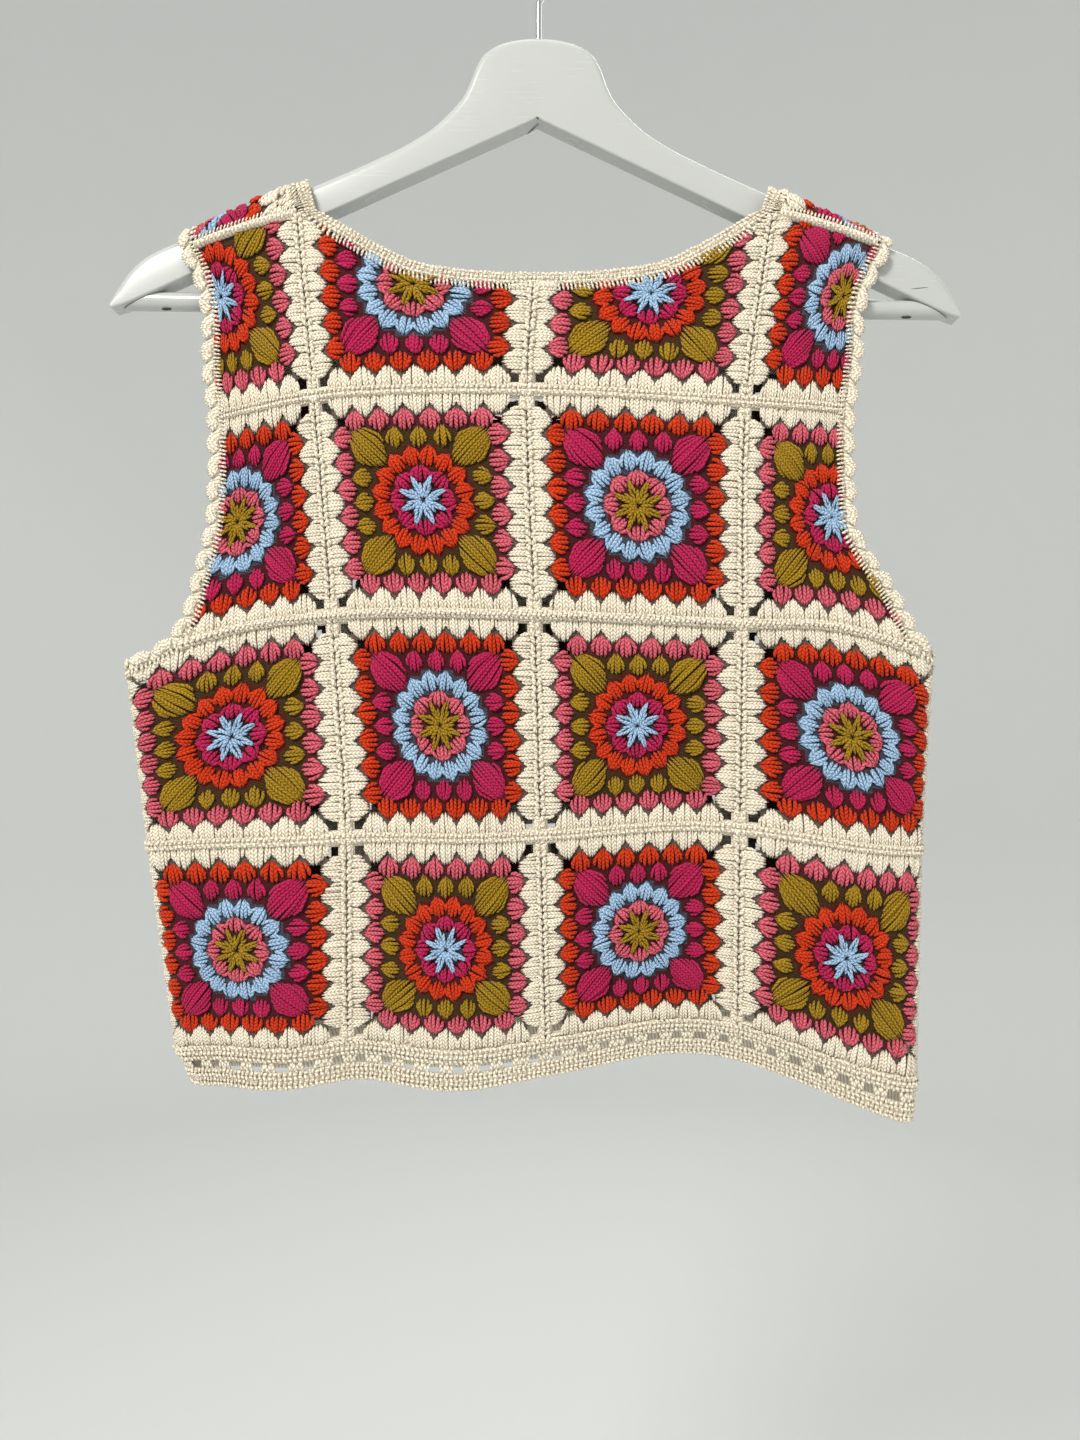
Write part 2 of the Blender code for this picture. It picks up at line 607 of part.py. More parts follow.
def clear_gaps(gaps, polygon, outline):
    """Only the gaps that lie clear of every edge of the wall."""
    kept = []
    for gap in gaps:
        middle = gap.mean(0)
        grown = gap + np.sign(gap - middle) * GAP_MARGIN
        if is_inside(grown, polygon).all() and is_inside(grown, outline).all():
            kept.append(gap)
    return kept


def make_squares(side, outline, materials):
    """The sixteen motif squares of one panel."""
    word = "back" if side == BACK else "front"
    for row in range(4):
        for column in range(4):
            top_row = row - (FRONT_TOP_EXTRA if side == FRONT and row == 0 else 0.0)
            polygon = cell_outline(side, column, column + 1, top_row, row + 1, CURVE_GAP + JOIN_HALF)
            holes = clear_gaps(gap_outlines(side, row, column), polygon, outline)
            holes += seam_zones(side) if row == 0 else []
            spacing = FOLD_STEP if row == HEM_ROW - 1 else FLAT_STEP
            flat, triangles = cut_faces(polygon, outline, holes, spacing)
            place = row + column if side == BACK else row + 1 + min(column, 3 - column)
            colour = materials["pink yarn" if place % 2 == 0 else "orange yarn"]
            wall_from_faces(f"{word}_square_r{row + 1}_c{column + 1}", side, flat, triangles, colour)


def make_joins(side, outline, materials):
    """The raised ridges that join each row of squares to the next."""
    word = "back" if side == BACK else "front"
    for row in (1, 2, 3):
        columns = np.linspace(0, 4, JOIN_SEARCH_STEPS)
        line = lay_out(side, columns, row)
        inside = is_inside(line - (0, JOIN_HALF), outline) & is_inside(line + (0, JOIN_HALF), outline)
        columns = np.linspace(columns[inside][0], columns[inside][-1], JOIN_STATIONS)
        line = lay_out(side, columns, row)
        x = np.repeat(line[:, :1], 3, 1)
        h = line[:, 1:] + (-JOIN_HALF, 0.0, JOIN_HALF)
        ridge(f"{word}_join_{row}", side, x, h, materials["cream yarn"])


def ridge(name, side, x, h, material):
    """A strip of three lines whose middle line stands raised."""
    sides = np.full(x.shape, side)
    outer = drape(sides, x, h, WALL / 2 + np.full(x.shape, (0.0, RAISED, 0.0)))
    inner = drape(sides, x, h, np.full(x.shape, -WALL / 2))
    slab(name, outer, inner, material)


def ring(name, parts, width, material, shell=0.0):
    """A closed edging: parts are (side, points, normals) in the order in which they follow."""
    side = np.concatenate([np.full(len(points), s) for s, points, _ in parts])
    edge = np.concatenate([points for _, points, _ in parts])
    normals = np.concatenate([n for _, _, n in parts])
    phase = np.arange(len(edge)) * math.pi / STATIONS_A_SHELL
    rise = shell * (np.abs(np.sin(phase)) - 0.5)
    places = np.stack([edge - normals * rise[:, None], edge + normals * width], 1)
    x, h = places[..., 0], places[..., 1]
    sides = np.repeat(side[:, None], 2, 1)
    outer = drape(sides, x, h, np.full(x.shape, WALL / 2))
    inner = drape(sides, x, h, np.full(x.shape, -WALL / 2))
    slab(name, outer, inner, material, closed=True)


def make_edgings(materials):
    """The rings round the neck and the two armholes."""
    cream = materials["cream yarn"]
    back, back_normals = neck_path(BACK)
    front, front_normals = neck_path(FRONT)
    ring("neck_edging", [(BACK, back, back_normals), (FRONT, front[-2:0:-1], front_normals[-2:0:-1])],
         NECK_WIDTH, cream)
    for name, (places, column) in ARMHOLES.items():
        back, back_normals = armhole_path(BACK, places, column)
        front, front_normals = armhole_path(FRONT, places, column)
        parts = [(BACK, back, back_normals), (FRONT, front[-2:0:-1], front_normals[-2:0:-1])]
        ring(f"armhole_edging_{name}", parts, ARMHOLE_WIDTH, cream, SHELL_RISE)


def make_seams(materials):
    """The shoulder seams, and the side seams from the armholes to the hem."""
    cream = materials["cream yarn"]
    neck, neck_normals = neck_path(BACK)
    neck = neck + neck_normals * NECK_WIDTH
    for name, (places, column) in ARMHOLES.items():
        arm, arm_normals = armhole_path(BACK, places, column)
        outwards = 1 if column else -1
        outer_end = (arm + arm_normals * ARMHOLE_WIDTH)[0, 0] - outwards * SEAM_END_GAP
        inner_end = neck[-1 if column else 0, 0] + outwards * SEAM_END_GAP
        x = np.repeat(np.linspace(outer_end, inner_end, SEAM_STATIONS)[:, None], 3, 1)
        h = shoulder_seam_h(x) + (-SEAM_HALF, 0.0, SEAM_HALF)
        ridge(f"shoulder_seam_{name}", BACK, x, h, cream)

        foot = arm[-1, 1] + arm_normals[-1, 1] * (ARMHOLE_WIDTH + GAP) - GAP
        hem = lay_out(BACK, 0 if column == 0 else 4, HEM_ROW)[1] + JOIN_HALF
        heights = np.linspace(foot, hem, SEAM_STATIONS)
        x = edge_x(heights, column)
        inwards = -JOIN_HALF if column else JOIN_HALF
        places = np.stack([x + inwards, x, x + inwards], 1)
        sides = np.repeat([[BACK, BACK, FRONT]], len(heights), 0)
        h = np.repeat(heights[:, None], 3, 1)
        outer, inner = (drape(sides, places, h, np.full(h.shape, o)) for o in (WALL / 2, -WALL / 2))
        slab(f"side_seam_{name}", outer, inner, cream)


def make_hem(side, materials):
    """One half of the hem band with its row of eyelets."""
    top_row = HEM_ROW - JOIN_HALF / SQUARE_HEIGHT
    polygon = cell_outline(side, 0, 4, top_row, HEM_ROW + 1, 0.0)
    ends = edge_x(polygon[:, 1], 0) + GAP, edge_x(polygon[:, 1], -1) - GAP
    polygon[:, 0] = np.clip(polygon[:, 0], *ends)
    corners = np.array([(-1.0, -1.0), (1.0, -1.0), (1.0, 1.0), (-1.0, 1.0)])
    across = np.linspace(*EYELETS_FROM_TO, EYELETS)
    top, foot = lay_out(side, across, HEM_ROW), lay_out(side, across, HEM_ROW + 1)
    eyelets = [middle + EYELET_HALF * corners for middle in top + (foot - top) * EYELET_PLACE]
    flat, triangles = cut_faces(polygon, corners, eyelets, FLAT_STEP)
    word = "back" if side == BACK else "front"
    wall_from_faces(f"hem_{word}", side, flat, triangles, materials["cream yarn"])


def arm_profile(height):
    """Half of the arm's section, from the middle of its foot up to the middle of its top."""
    top = min(ARM_TOP_RADIUS, 0.45 * height)
    foot = min(ARM_FOOT_RADIUS, 0.3 * height)
    turns_of = np.linspace(0, math.pi / 2, CORNER_STEPS + 1)
    foot_y = ARM_HALF_THICKNESS - foot + foot * np.sin(turns_of)
    foot_h = foot - foot * np.cos(turns_of)
    top_y = ARM_HALF_THICKNESS - top + top * np.cos(turns_of)
    top_h = height - top + top * np.sin(turns_of)
    return np.concatenate([foot_y, top_y]), np.concatenate([foot_h, top_h])


def make_wood(materials):
    """The arms and neck of the hanger, one section after another from tip to tip."""
    half = np.array(ARM_STATIONS)
    mirrored = half[:0:-1] * (-1, 1, -1, 1)
    stations = np.concatenate([mirrored, half])
    rows = []
    for top_x, top_z, foot_x, foot_z in stations:
        top, foot = np.array(tilted(top_x, top_z)), np.array(tilted(foot_x, foot_z))
        height = np.linalg.norm(top - foot)
        y, up = arm_profile(height)
        y, up = np.concatenate([y, -y[::-1]]), np.concatenate([up, up[::-1]])
        place = foot + (top - foot) * (up / height)[:, None]
        rows.append(np.stack([place[:, 0], y, place[:, 1]], -1))
    tube("hanger_wood", np.array(rows), materials["white paint"])


def tube(name, rows, material):
    """A closed body through rings of points, with a flat face at each end."""
    count, sides = rows.shape[:2]
    faces = []
    for low in range(0, (count - 1) * sides, sides):
        for s in range(sides):
            after = (s + 1) % sides
            faces.append((low + s, low + after, low + sides + after, low + sides + s))
    faces += [tuple(range(sides))[::-1], tuple((count - 1) * sides + s for s in range(sides))]
    points = rows.reshape(-1, 3)
    return add_object(name, points, turned_out(points, faces), material)


def make_bar(materials):
    """The trouser bar, its ends cut on the slope of the arms' underside, where they seat."""
    around = np.linspace(0, 2 * math.pi, BAR_SIDES, endpoint=False)
    z = BAR_Z + BAR_RADIUS * np.sin(around)
    notch_z = ARM_STATIONS[0][3]
    reach = (notch_z - z) / UNDERSIDE_SLOPE - BAR_END_GAP
    rows = []
    for share in np.linspace(-1, 1, BAR_STATIONS):
        x, turned_z = tilted(reach * share, z)
        rows.append(np.stack([x, BAR_RADIUS * np.cos(around), turned_z], -1))
    tube("trouser_bar", np.array(rows), materials["white paint"])


def make_hook(materials):
    """The wire hook: a stem, an easy bend outwards and an open ring over the rail."""
    centre_z = WIRE_RADIUS - HOOK_RADIUS
    around = np.linspace(HOOK_FROM, HOOK_TO, ARC_STATIONS)
    arc = np.stack([HOOK_RADIUS * np.cos(around), centre_z + HOOK_RADIUS * np.sin(around)], -1)
    foot_z = ARM_STATIONS[0][1] + GAP
    stem = [(0.0, foot_z), (0.0, (foot_z + STEM_TOP_Z) / 2)]
    leaves = np.array([0.0, STEM_TOP_Z])
    meets = arc[0]
    along_arc = np.array([-math.sin(HOOK_FROM), math.cos(HOOK_FROM)])
    pulls = leaves + (0, BEND_REACH), meets - BEND_REACH * along_arc
    bend = []
    for t in np.linspace(0, 1, BEND_STATIONS)[:-1]:
        weights = ((1 - t) ** 3, 3 * t * (1 - t) ** 2, 3 * t * t * (1 - t), t**3)
        bend.append(sum(w * p for w, p in zip(weights, (leaves, *pulls, meets), strict=True)))
    curve = bpy.data.curves.new("hook", "CURVE")
    curve.dimensions = "3D"
    curve.bevel_depth = WIRE_RADIUS
    curve.bevel_resolution = 1
    curve.use_fill_caps = True
    points = [*stem, *bend, *arc]
    spline = curve.splines.new("POLY")
    spline.points.add(len(points) - 1)
    for point, (x, z) in zip(spline.points, points, strict=True):
        point.co = (float(x), 0.0, float(z), 1.0)
    curve.materials.append(materials["bright wire"])
    bpy.context.scene.collection.objects.link(bpy.data.objects.new("hook", curve))


def main():
    """Builds the whole part."""
    clear_scene()
    materials = {
        "cream yarn": finish("cream yarn", CREAM, 0.9),
        "orange yarn": finish("orange yarn", ORANGE, 0.9),
        "pink yarn": finish("pink yarn", PINK, 0.9),
        "white paint": finish("white paint", GLOSS_WHITE, 0.25),
        "bright wire": finish("bright wire", CHROME, 0.15, 1.0),
    }
    for side in (BACK, FRONT):
        outline = panel_outline(side)
        make_squares(side, outline, materials)
        make_joins(side, outline, materials)
        make_hem(side, materials)
    make_edgings(materials)
    make_seams(materials)
    make_wood(materials)
    make_bar(materials)
    make_hook(materials)


main()
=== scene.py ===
"""Looks of a crocheted vest of motif squares that hangs on a wooden coat hanger.

Metres, +Z up, the back of the vest towards -Y. A panel of the vest is laid out flat, x across and h
up; Panels.hang() lays flat points over the hanger's arm, round the sides and into the folds. Every
stitch is a short closed strand of yarn on that layout, so squares, joins, edgings and hem are
whole arrays of strands with a twist that follows each strand.
"""

import logging
import math
from dataclasses import dataclass, field
from enum import Enum
from itertools import product
from typing import Callable

import bpy
import numpy as np
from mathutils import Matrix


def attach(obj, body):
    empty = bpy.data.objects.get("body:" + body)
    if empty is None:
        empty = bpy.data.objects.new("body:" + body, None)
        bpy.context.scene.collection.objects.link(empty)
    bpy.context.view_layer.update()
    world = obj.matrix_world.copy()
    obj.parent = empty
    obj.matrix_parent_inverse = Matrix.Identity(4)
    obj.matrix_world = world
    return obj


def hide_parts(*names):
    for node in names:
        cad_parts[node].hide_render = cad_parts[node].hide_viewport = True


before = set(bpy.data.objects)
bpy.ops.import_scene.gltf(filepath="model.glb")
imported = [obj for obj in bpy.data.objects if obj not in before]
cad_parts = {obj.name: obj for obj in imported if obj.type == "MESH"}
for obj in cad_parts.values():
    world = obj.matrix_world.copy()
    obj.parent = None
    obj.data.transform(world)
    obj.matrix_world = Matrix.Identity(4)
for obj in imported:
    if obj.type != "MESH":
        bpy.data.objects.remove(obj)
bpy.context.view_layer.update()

LOG = logging.getLogger("vest")
Array = np.ndarray
BODY = "root"
MM = 0.001


class Side(Enum):
    """The two panels of the vest."""

    BACK = -1
    FRONT = 1


class Yarn(Enum):
    """The yarns, numbered as the material slots of a knotted piece."""

    CREAM = 0
    BLUE = 1
    MAGENTA = 2
    ORANGE = 3
    MUSTARD = 4
    PINK = 5


# ---------------------------------------------------------------- flat layout and drape


def smooth(knots: Array, values: Array, at: Array) -> Array:
    """Cubic Hermite curve through values at knots, with the knots' mean slopes.

    Args:
        knots: rising places.
        values: the value at each knot, along the last axis.
        at: where to read.
    Returns:
        the curve's value at each place.
    """
    knots = np.asarray(knots, float)
    at = np.asarray(at, float)
    values = np.broadcast_to(values, at.shape + (len(knots),))
    slopes = np.gradient(values, knots, axis=-1)
    low = np.clip(np.searchsorted(knots, at, side="right") - 1, 0, len(knots) - 2)

    def read(table: Array, index: Array) -> Array:
        """The table's entry at each index."""
        return np.take_along_axis(table, index[..., None], -1)[..., 0]

    span = knots[low + 1] - knots[low]
    t = (at - knots[low]) / span
    return (
        read(values, low) * (1 + 2 * t) * (1 - t) ** 2
        + read(slopes, low) * span * t * (1 - t) ** 2
        + read(values, low + 1) * t * t * (3 - 2 * t)
        + read(slopes, low + 1) * span * t * t * (t - 1)
    )


def ease(t: Array) -> Array:
    """3t^2 - 2t^3 between 0 and 1, level outside."""
    t = np.clip(t, 0, 1)
    return t * t * (3 - 2 * t)


def is_inside(points: Array, polygon: Array) -> Array:
    """True for each point that crosses the polygon's edges an odd number of times to its right.

    Args:
        points: flat points.
        polygon: its corners in order.
    Returns:
        one truth for each point.
    """
    x, y = points[:, 0, None], points[:, 1, None]
    x0, y0 = polygon[:, 0], polygon[:, 1]
    x1, y1 = np.roll(x0, -1), np.roll(y0, -1)
    crosses = (y0 > y) != (y1 > y)
    with np.errstate(divide="ignore", invalid="ignore"):
        meets = x < (x1 - x0) * (y - y0) / (y1 - y0) + x0
    return (crosses & meets).sum(1) % 2 == 1


def along(points: Array) -> Array:
    """Length of a line of points up to each of them."""
    return np.concatenate([[0], np.cumsum(np.linalg.norm(np.diff(points, axis=0), axis=1))])


@dataclass(frozen=True)
class Hanger:
    """Sizes of the hanger, and the height of its arms."""

    # Top edge x, z and lower edge x, z of half the outline, from the middle to the tip
    stations: tuple = (
        (0.0000, -0.0620, 0.0000, -0.1057), (0.0120, -0.0630, 0.0030, -0.1071),
        (0.0220, -0.0660, 0.0070, -0.1089), (0.0290, -0.0710, 0.0110, -0.1108),
        (0.0330, -0.0780, 0.0160, -0.1131), (0.0360, -0.0860, 0.0220, -0.1159),
        (0.0400, -0.0940, 0.0290, -0.1191), (0.0460, -0.1010, 0.0360, -0.1224),
        (0.0550, -0.1095, 0.0460, -0.1270), (0.0680, -0.1180, 0.0600, -0.1335),
        (0.0870, -0.1275, 0.0790, -0.1423), (0.1160, -0.1405, 0.1080, -0.1558),
        (0.1500, -0.1551, 0.1420, -0.1715), (0.1800, -0.1681, 0.1720, -0.1854),
        (0.1970, -0.1748, 0.1880, -0.1928), (0.2060, -0.1800, 0.1970, -0.1970),
        (0.2130, -0.1865, 0.2050, -0.2007), (0.2185, -0.1940, 0.2120, -0.2039),
        (0.2215, -0.2005, 0.2180, -0.2062), (0.2230, -0.2050, 0.2220, -0.2073),
    )
    tilt: float = math.radians(0.65)
    half_thickness: float = 0.006
    top_radius: float = 0.005
    foot_radius: float = 0.0012
    underside_slope: float = 0.4635
    bar_radius: float = 0.0049
    bar_z: float = -0.2018
    bar_end_gap: float = 0.001
    wire_radius: float = 0.0015
    hook_radius: float = 0.0190
    hook_from: float = math.radians(-50)
    hook_to: float = math.radians(205)
    stem_top_z: float = -0.044
    stem_foot_gap: float = 0.0003
    bend_reach: float = 0.007

    def tilted(self, x: Array, z: Array) -> tuple[Array, Array]:
        """Points turned by the tilt about the foot of the hook.

        Args:
            x: across.
            z: height.
        Returns:
            the turned x and z.
        """
        pivot = self.stations[0][1]
        c, s = math.cos(self.tilt), math.sin(self.tilt)
        return x * c + (z - pivot) * s, pivot + (z - pivot) * c - x * s

    def arm_top(self, x: Array) -> Array:
        """Height of the top of the arms, by straight lines between the stations.

        Args:
            x: places across.
        Returns:
            the height at each.
        """
        half = np.array(self.stations)
        top_x = np.concatenate([-half[:0:-1, 0], half[:, 0]])
        top_z = np.concatenate([half[:0:-1, 1], half[:, 1]])
        return np.interp(x, *self.tilted(top_x, top_z))


@dataclass(frozen=True)
class Panels:
    """The flat layout of both panels and the way in which they hang."""

    hanger: Hanger = field(default_factory=Hanger)
    columns: tuple = (0.0, 0.5, 1.0, 2.0, 3.0, 3.5, 4.0)
    hem_row: int = 4
    seam_x: tuple = (
        (-0.1930, -0.1750, -0.1270, 0.0020, 0.1225, 0.1690, 0.1890),
        (-0.1850, -0.1565, -0.1160, -0.0060, 0.1070, 0.1505, 0.1790),
        (-0.2215, -0.1575, -0.1065, -0.0020, 0.1050, 0.1565, 0.2125),
        (-0.2105, -0.1585, -0.0990, 0.0010, 0.1040, 0.1650, 0.2060),
        (-0.1960, -0.1510, -0.0985, 0.0035, 0.1030, 0.1515, 0.2020),
        (-0.1860, -0.1490, -0.0980, 0.0040, 0.1030, 0.1515, 0.1985),
    )
    back_h: tuple = (
        (-0.1475, -0.1410, -0.1385, -0.1455, -0.1485, -0.1430, -0.1460),
        (-0.2670, -0.2605, -0.2530, -0.2500, -0.2560, -0.2585, -0.2620),
        (-0.3940, -0.3740, -0.3670, -0.3665, -0.3710, -0.3730, -0.3910),
        (-0.4865, -0.4835, -0.4815, -0.4800, -0.4770, -0.4855, -0.4880),
        (-0.5910, -0.5865, -0.5870, -0.5845, -0.5805, -0.5935, -0.6030),
        (-0.6085, -0.6060, -0.6065, -0.6030, -0.5985, -0.6125, -0.6255),
    )
    front_h: tuple = (
        (-0.1000, -0.1000, -0.1000, -0.1100, -0.1000, -0.1000, -0.1000),
        (-0.2300, -0.2260, -0.2300, -0.2380, -0.2300, -0.2260, -0.2300),
        (-0.3940, -0.3680, -0.3560, -0.3560, -0.3600, -0.3680, -0.3910),
        (-0.4865, -0.4790, -0.4740, -0.4720, -0.4720, -0.4810, -0.4880),
        *back_h[4:],
    )
    bottom_row_sag: float = 0.003
    wall: float = 0.0022
    # Height, then the wall's distance from the middle plane in the middle and near the sides
    half_depths: tuple = (
        (-0.630, 0.0150, 0.0140), (-0.400, 0.0135, 0.0125), (-0.330, 0.0135, 0.0095),
        (-0.260, 0.0130, 0.0080), (-0.200, 0.0120, 0.0089), (-0.130, 0.0100, 0.0089),
    )
    middle_x: float = 0.100
    edge_x_at: float = 0.190
    side_wrap: float = 0.017
    # Centre across, half width and depth of the folds
    folds: tuple = ((-0.135, 0.030, -0.008), (-0.092, 0.022, 0.004), (-0.039, 0.036, -0.010),
                    (0.070, 0.045, 0.008), (0.182, 0.030, -0.008))
    folds_start: float = -0.42
    folds_full: float = -0.62
    front_fold_share: float = 0.6
    fold_drop: float = 0.4
    rest_gap: float = 0.0006
    arch_height: float = 0.0079
    arch_length: float = 0.0132
    arm_bow: float = 0.0026
    bow_from: float = 0.115
    bow_to: float = 0.190

    def seam_h(self, side: Side) -> tuple:
        """The heights of one panel's seams between rows."""
        return self.back_h if side is Side.BACK else self.front_h

    def lay_out(self, side: Side, column: Array, row: Array) -> Array:
        """Reads x and h at a place given in squares, along the rows and then across them.

        Args:
            side: the panel.
            column: squares from the left edge.
            row: squares from the shoulder.
        Returns:
            (x, h) along the last axis.
        """
        column, row = np.broadcast_arrays(np.asarray(column, float), np.asarray(row, float))
        rows = np.arange(len(self.seam_x))
        at = row[..., None] + np.zeros(len(self.columns))
        x = smooth(self.columns, smooth(rows, np.array(self.seam_x).T, at), column)
        h = smooth(self.columns, smooth(rows, np.array(self.seam_h(side)).T, at), column)
        sag = self.bottom_row_sag * np.sin(math.pi * np.clip(row - self.hem_row + 1, 0, 1))
        return np.stack([x, h - sag], -1)

    def edge_x(self, h: Array, column: int) -> Array:
        """x of the side seam at height h: column 0 on the left, -1 on the right.

        Args:
            h: heights.
            column: 0 or -1.
        Returns:
            x at each height.
        """
        heights = [line[column] for line in self.back_h[2:]]
        places = [line[column] for line in self.seam_x[2:]]
        return np.interp(h, heights[::-1], places[::-1])

    def side_distance(self, x: Array, h: Array) -> Array:
        """Length of cloth between a flat point and the nearer side seam."""
        return np.maximum(np.minimum(x - self.edge_x(h, 0), self.edge_x(h, -1) - x), 0)

    def spring(self, x: Array) -> Array:
        """h where a panel begins to turn over the arm.

        Args:
            x: places across.
        Returns:
            the height at each.
        """
        share = np.clip((np.abs(x) - self.bow_from) / (self.bow_to - self.bow_from), 0, 1)
        bow = self.arm_bow * np.sin(math.pi * share)
        return self.hanger.arm_top(x) + self.rest_gap + self.wall / 2 + bow - self.arch_height

    def half_depth(self, x: Array, h: Array) -> Array:
        """Distance of the wall's middle from the middle plane.

        Args:
            x: places across.
            h: heights.
        Returns:
            the distance at each.
        """
        heights, middles, edges = np.array(self.half_depths).T
        share = ease((np.abs(x) - self.middle_x) / (self.edge_x_at - self.middle_x))
        return np.interp(h, heights, middles) * (1 - share) + np.interp(h, heights, edges) * share

    def middle(self, side: Array, x: Array, h: Array) -> Array:
        """Hangs flat points: a quarter ellipse over the arm, a quarter turn round the sides, and
        bell curves across for the folds, deeper towards the hem.

        Args:
            side: -1 on the back and 1 on the front.
            x: place across the flat panel.
            h: height on the flat panel.
        Returns:
            the middle of the wall, as points in space.
        """
        side, x, h = np.broadcast_arrays(side, np.asarray(x, float), np.asarray(h, float))
        spring = self.spring(x)
        apex = spring + self.arch_length
        side = np.where(h > apex, -side, side)
        h = np.where(h > apex, 2 * apex - h, h)

        distance = self.side_distance(x, h)
        turn = np.clip(distance / self.side_wrap, 0, 1) * math.pi / 2
        wide = self.side_wrap * 2 / math.pi
        inward = wide * (1 - np.cos(turn)) - np.minimum(distance, self.side_wrap)
        inward += self.side_wrap - wide

        fold = sum(d * np.exp(-(((x - centre) / w) ** 2)) for centre, w, d in self.folds)
        full = np.clip((self.folds_start - h) / (self.folds_start - self.folds_full), 0, 1)
        fold = fold * full**1.3
        flat_share = np.sin(turn)
        fold = fold * np.where(side > 0, 1 - (1 - self.front_fold_share) * flat_share, 1)

        over = np.clip((apex - h) / self.arch_length, 0, 1) * math.pi / 2
        depth = self.half_depth(x, np.where(h > spring, spring, h))
        y = side * depth * flat_share * np.sin(over) + fold
        z = np.where(h > spring, spring + self.arch_height * np.cos(over), h)
        return np.stack([x - np.sign(x) * inward, y, z + self.fold_drop * fold], -1)

    def hang(self, side: Array, x: Array, h: Array, out: Array) -> Array:
        """Hangs flat points and moves each outwards along the wall's normal.

        Args:
            side: -1 on the back and 1 on the front.
            x: place across the flat panel.
            h: height on the flat panel.
            out: distance outwards from the wall's middle.
        Returns:
            points in space.
        """
        step = 1e-5
        across = self.middle(side, x + step, h) - self.middle(side, x - step, h)
        up = self.middle(side, x, h + step) - self.middle(side, x, h - step)
        outward = np.cross(across, up) * -np.asarray(side, float)[..., None]
        outward /= np.linalg.norm(outward, axis=-1, keepdims=True)
        return self.middle(side, x, h) + outward * np.asarray(out)[..., None]


def mirrored(*half: tuple) -> tuple:
    """A line of points across, from its half on the right, which begins in the middle."""
    return (*((-x, h) for x, h in half[:0:-1]), *half)


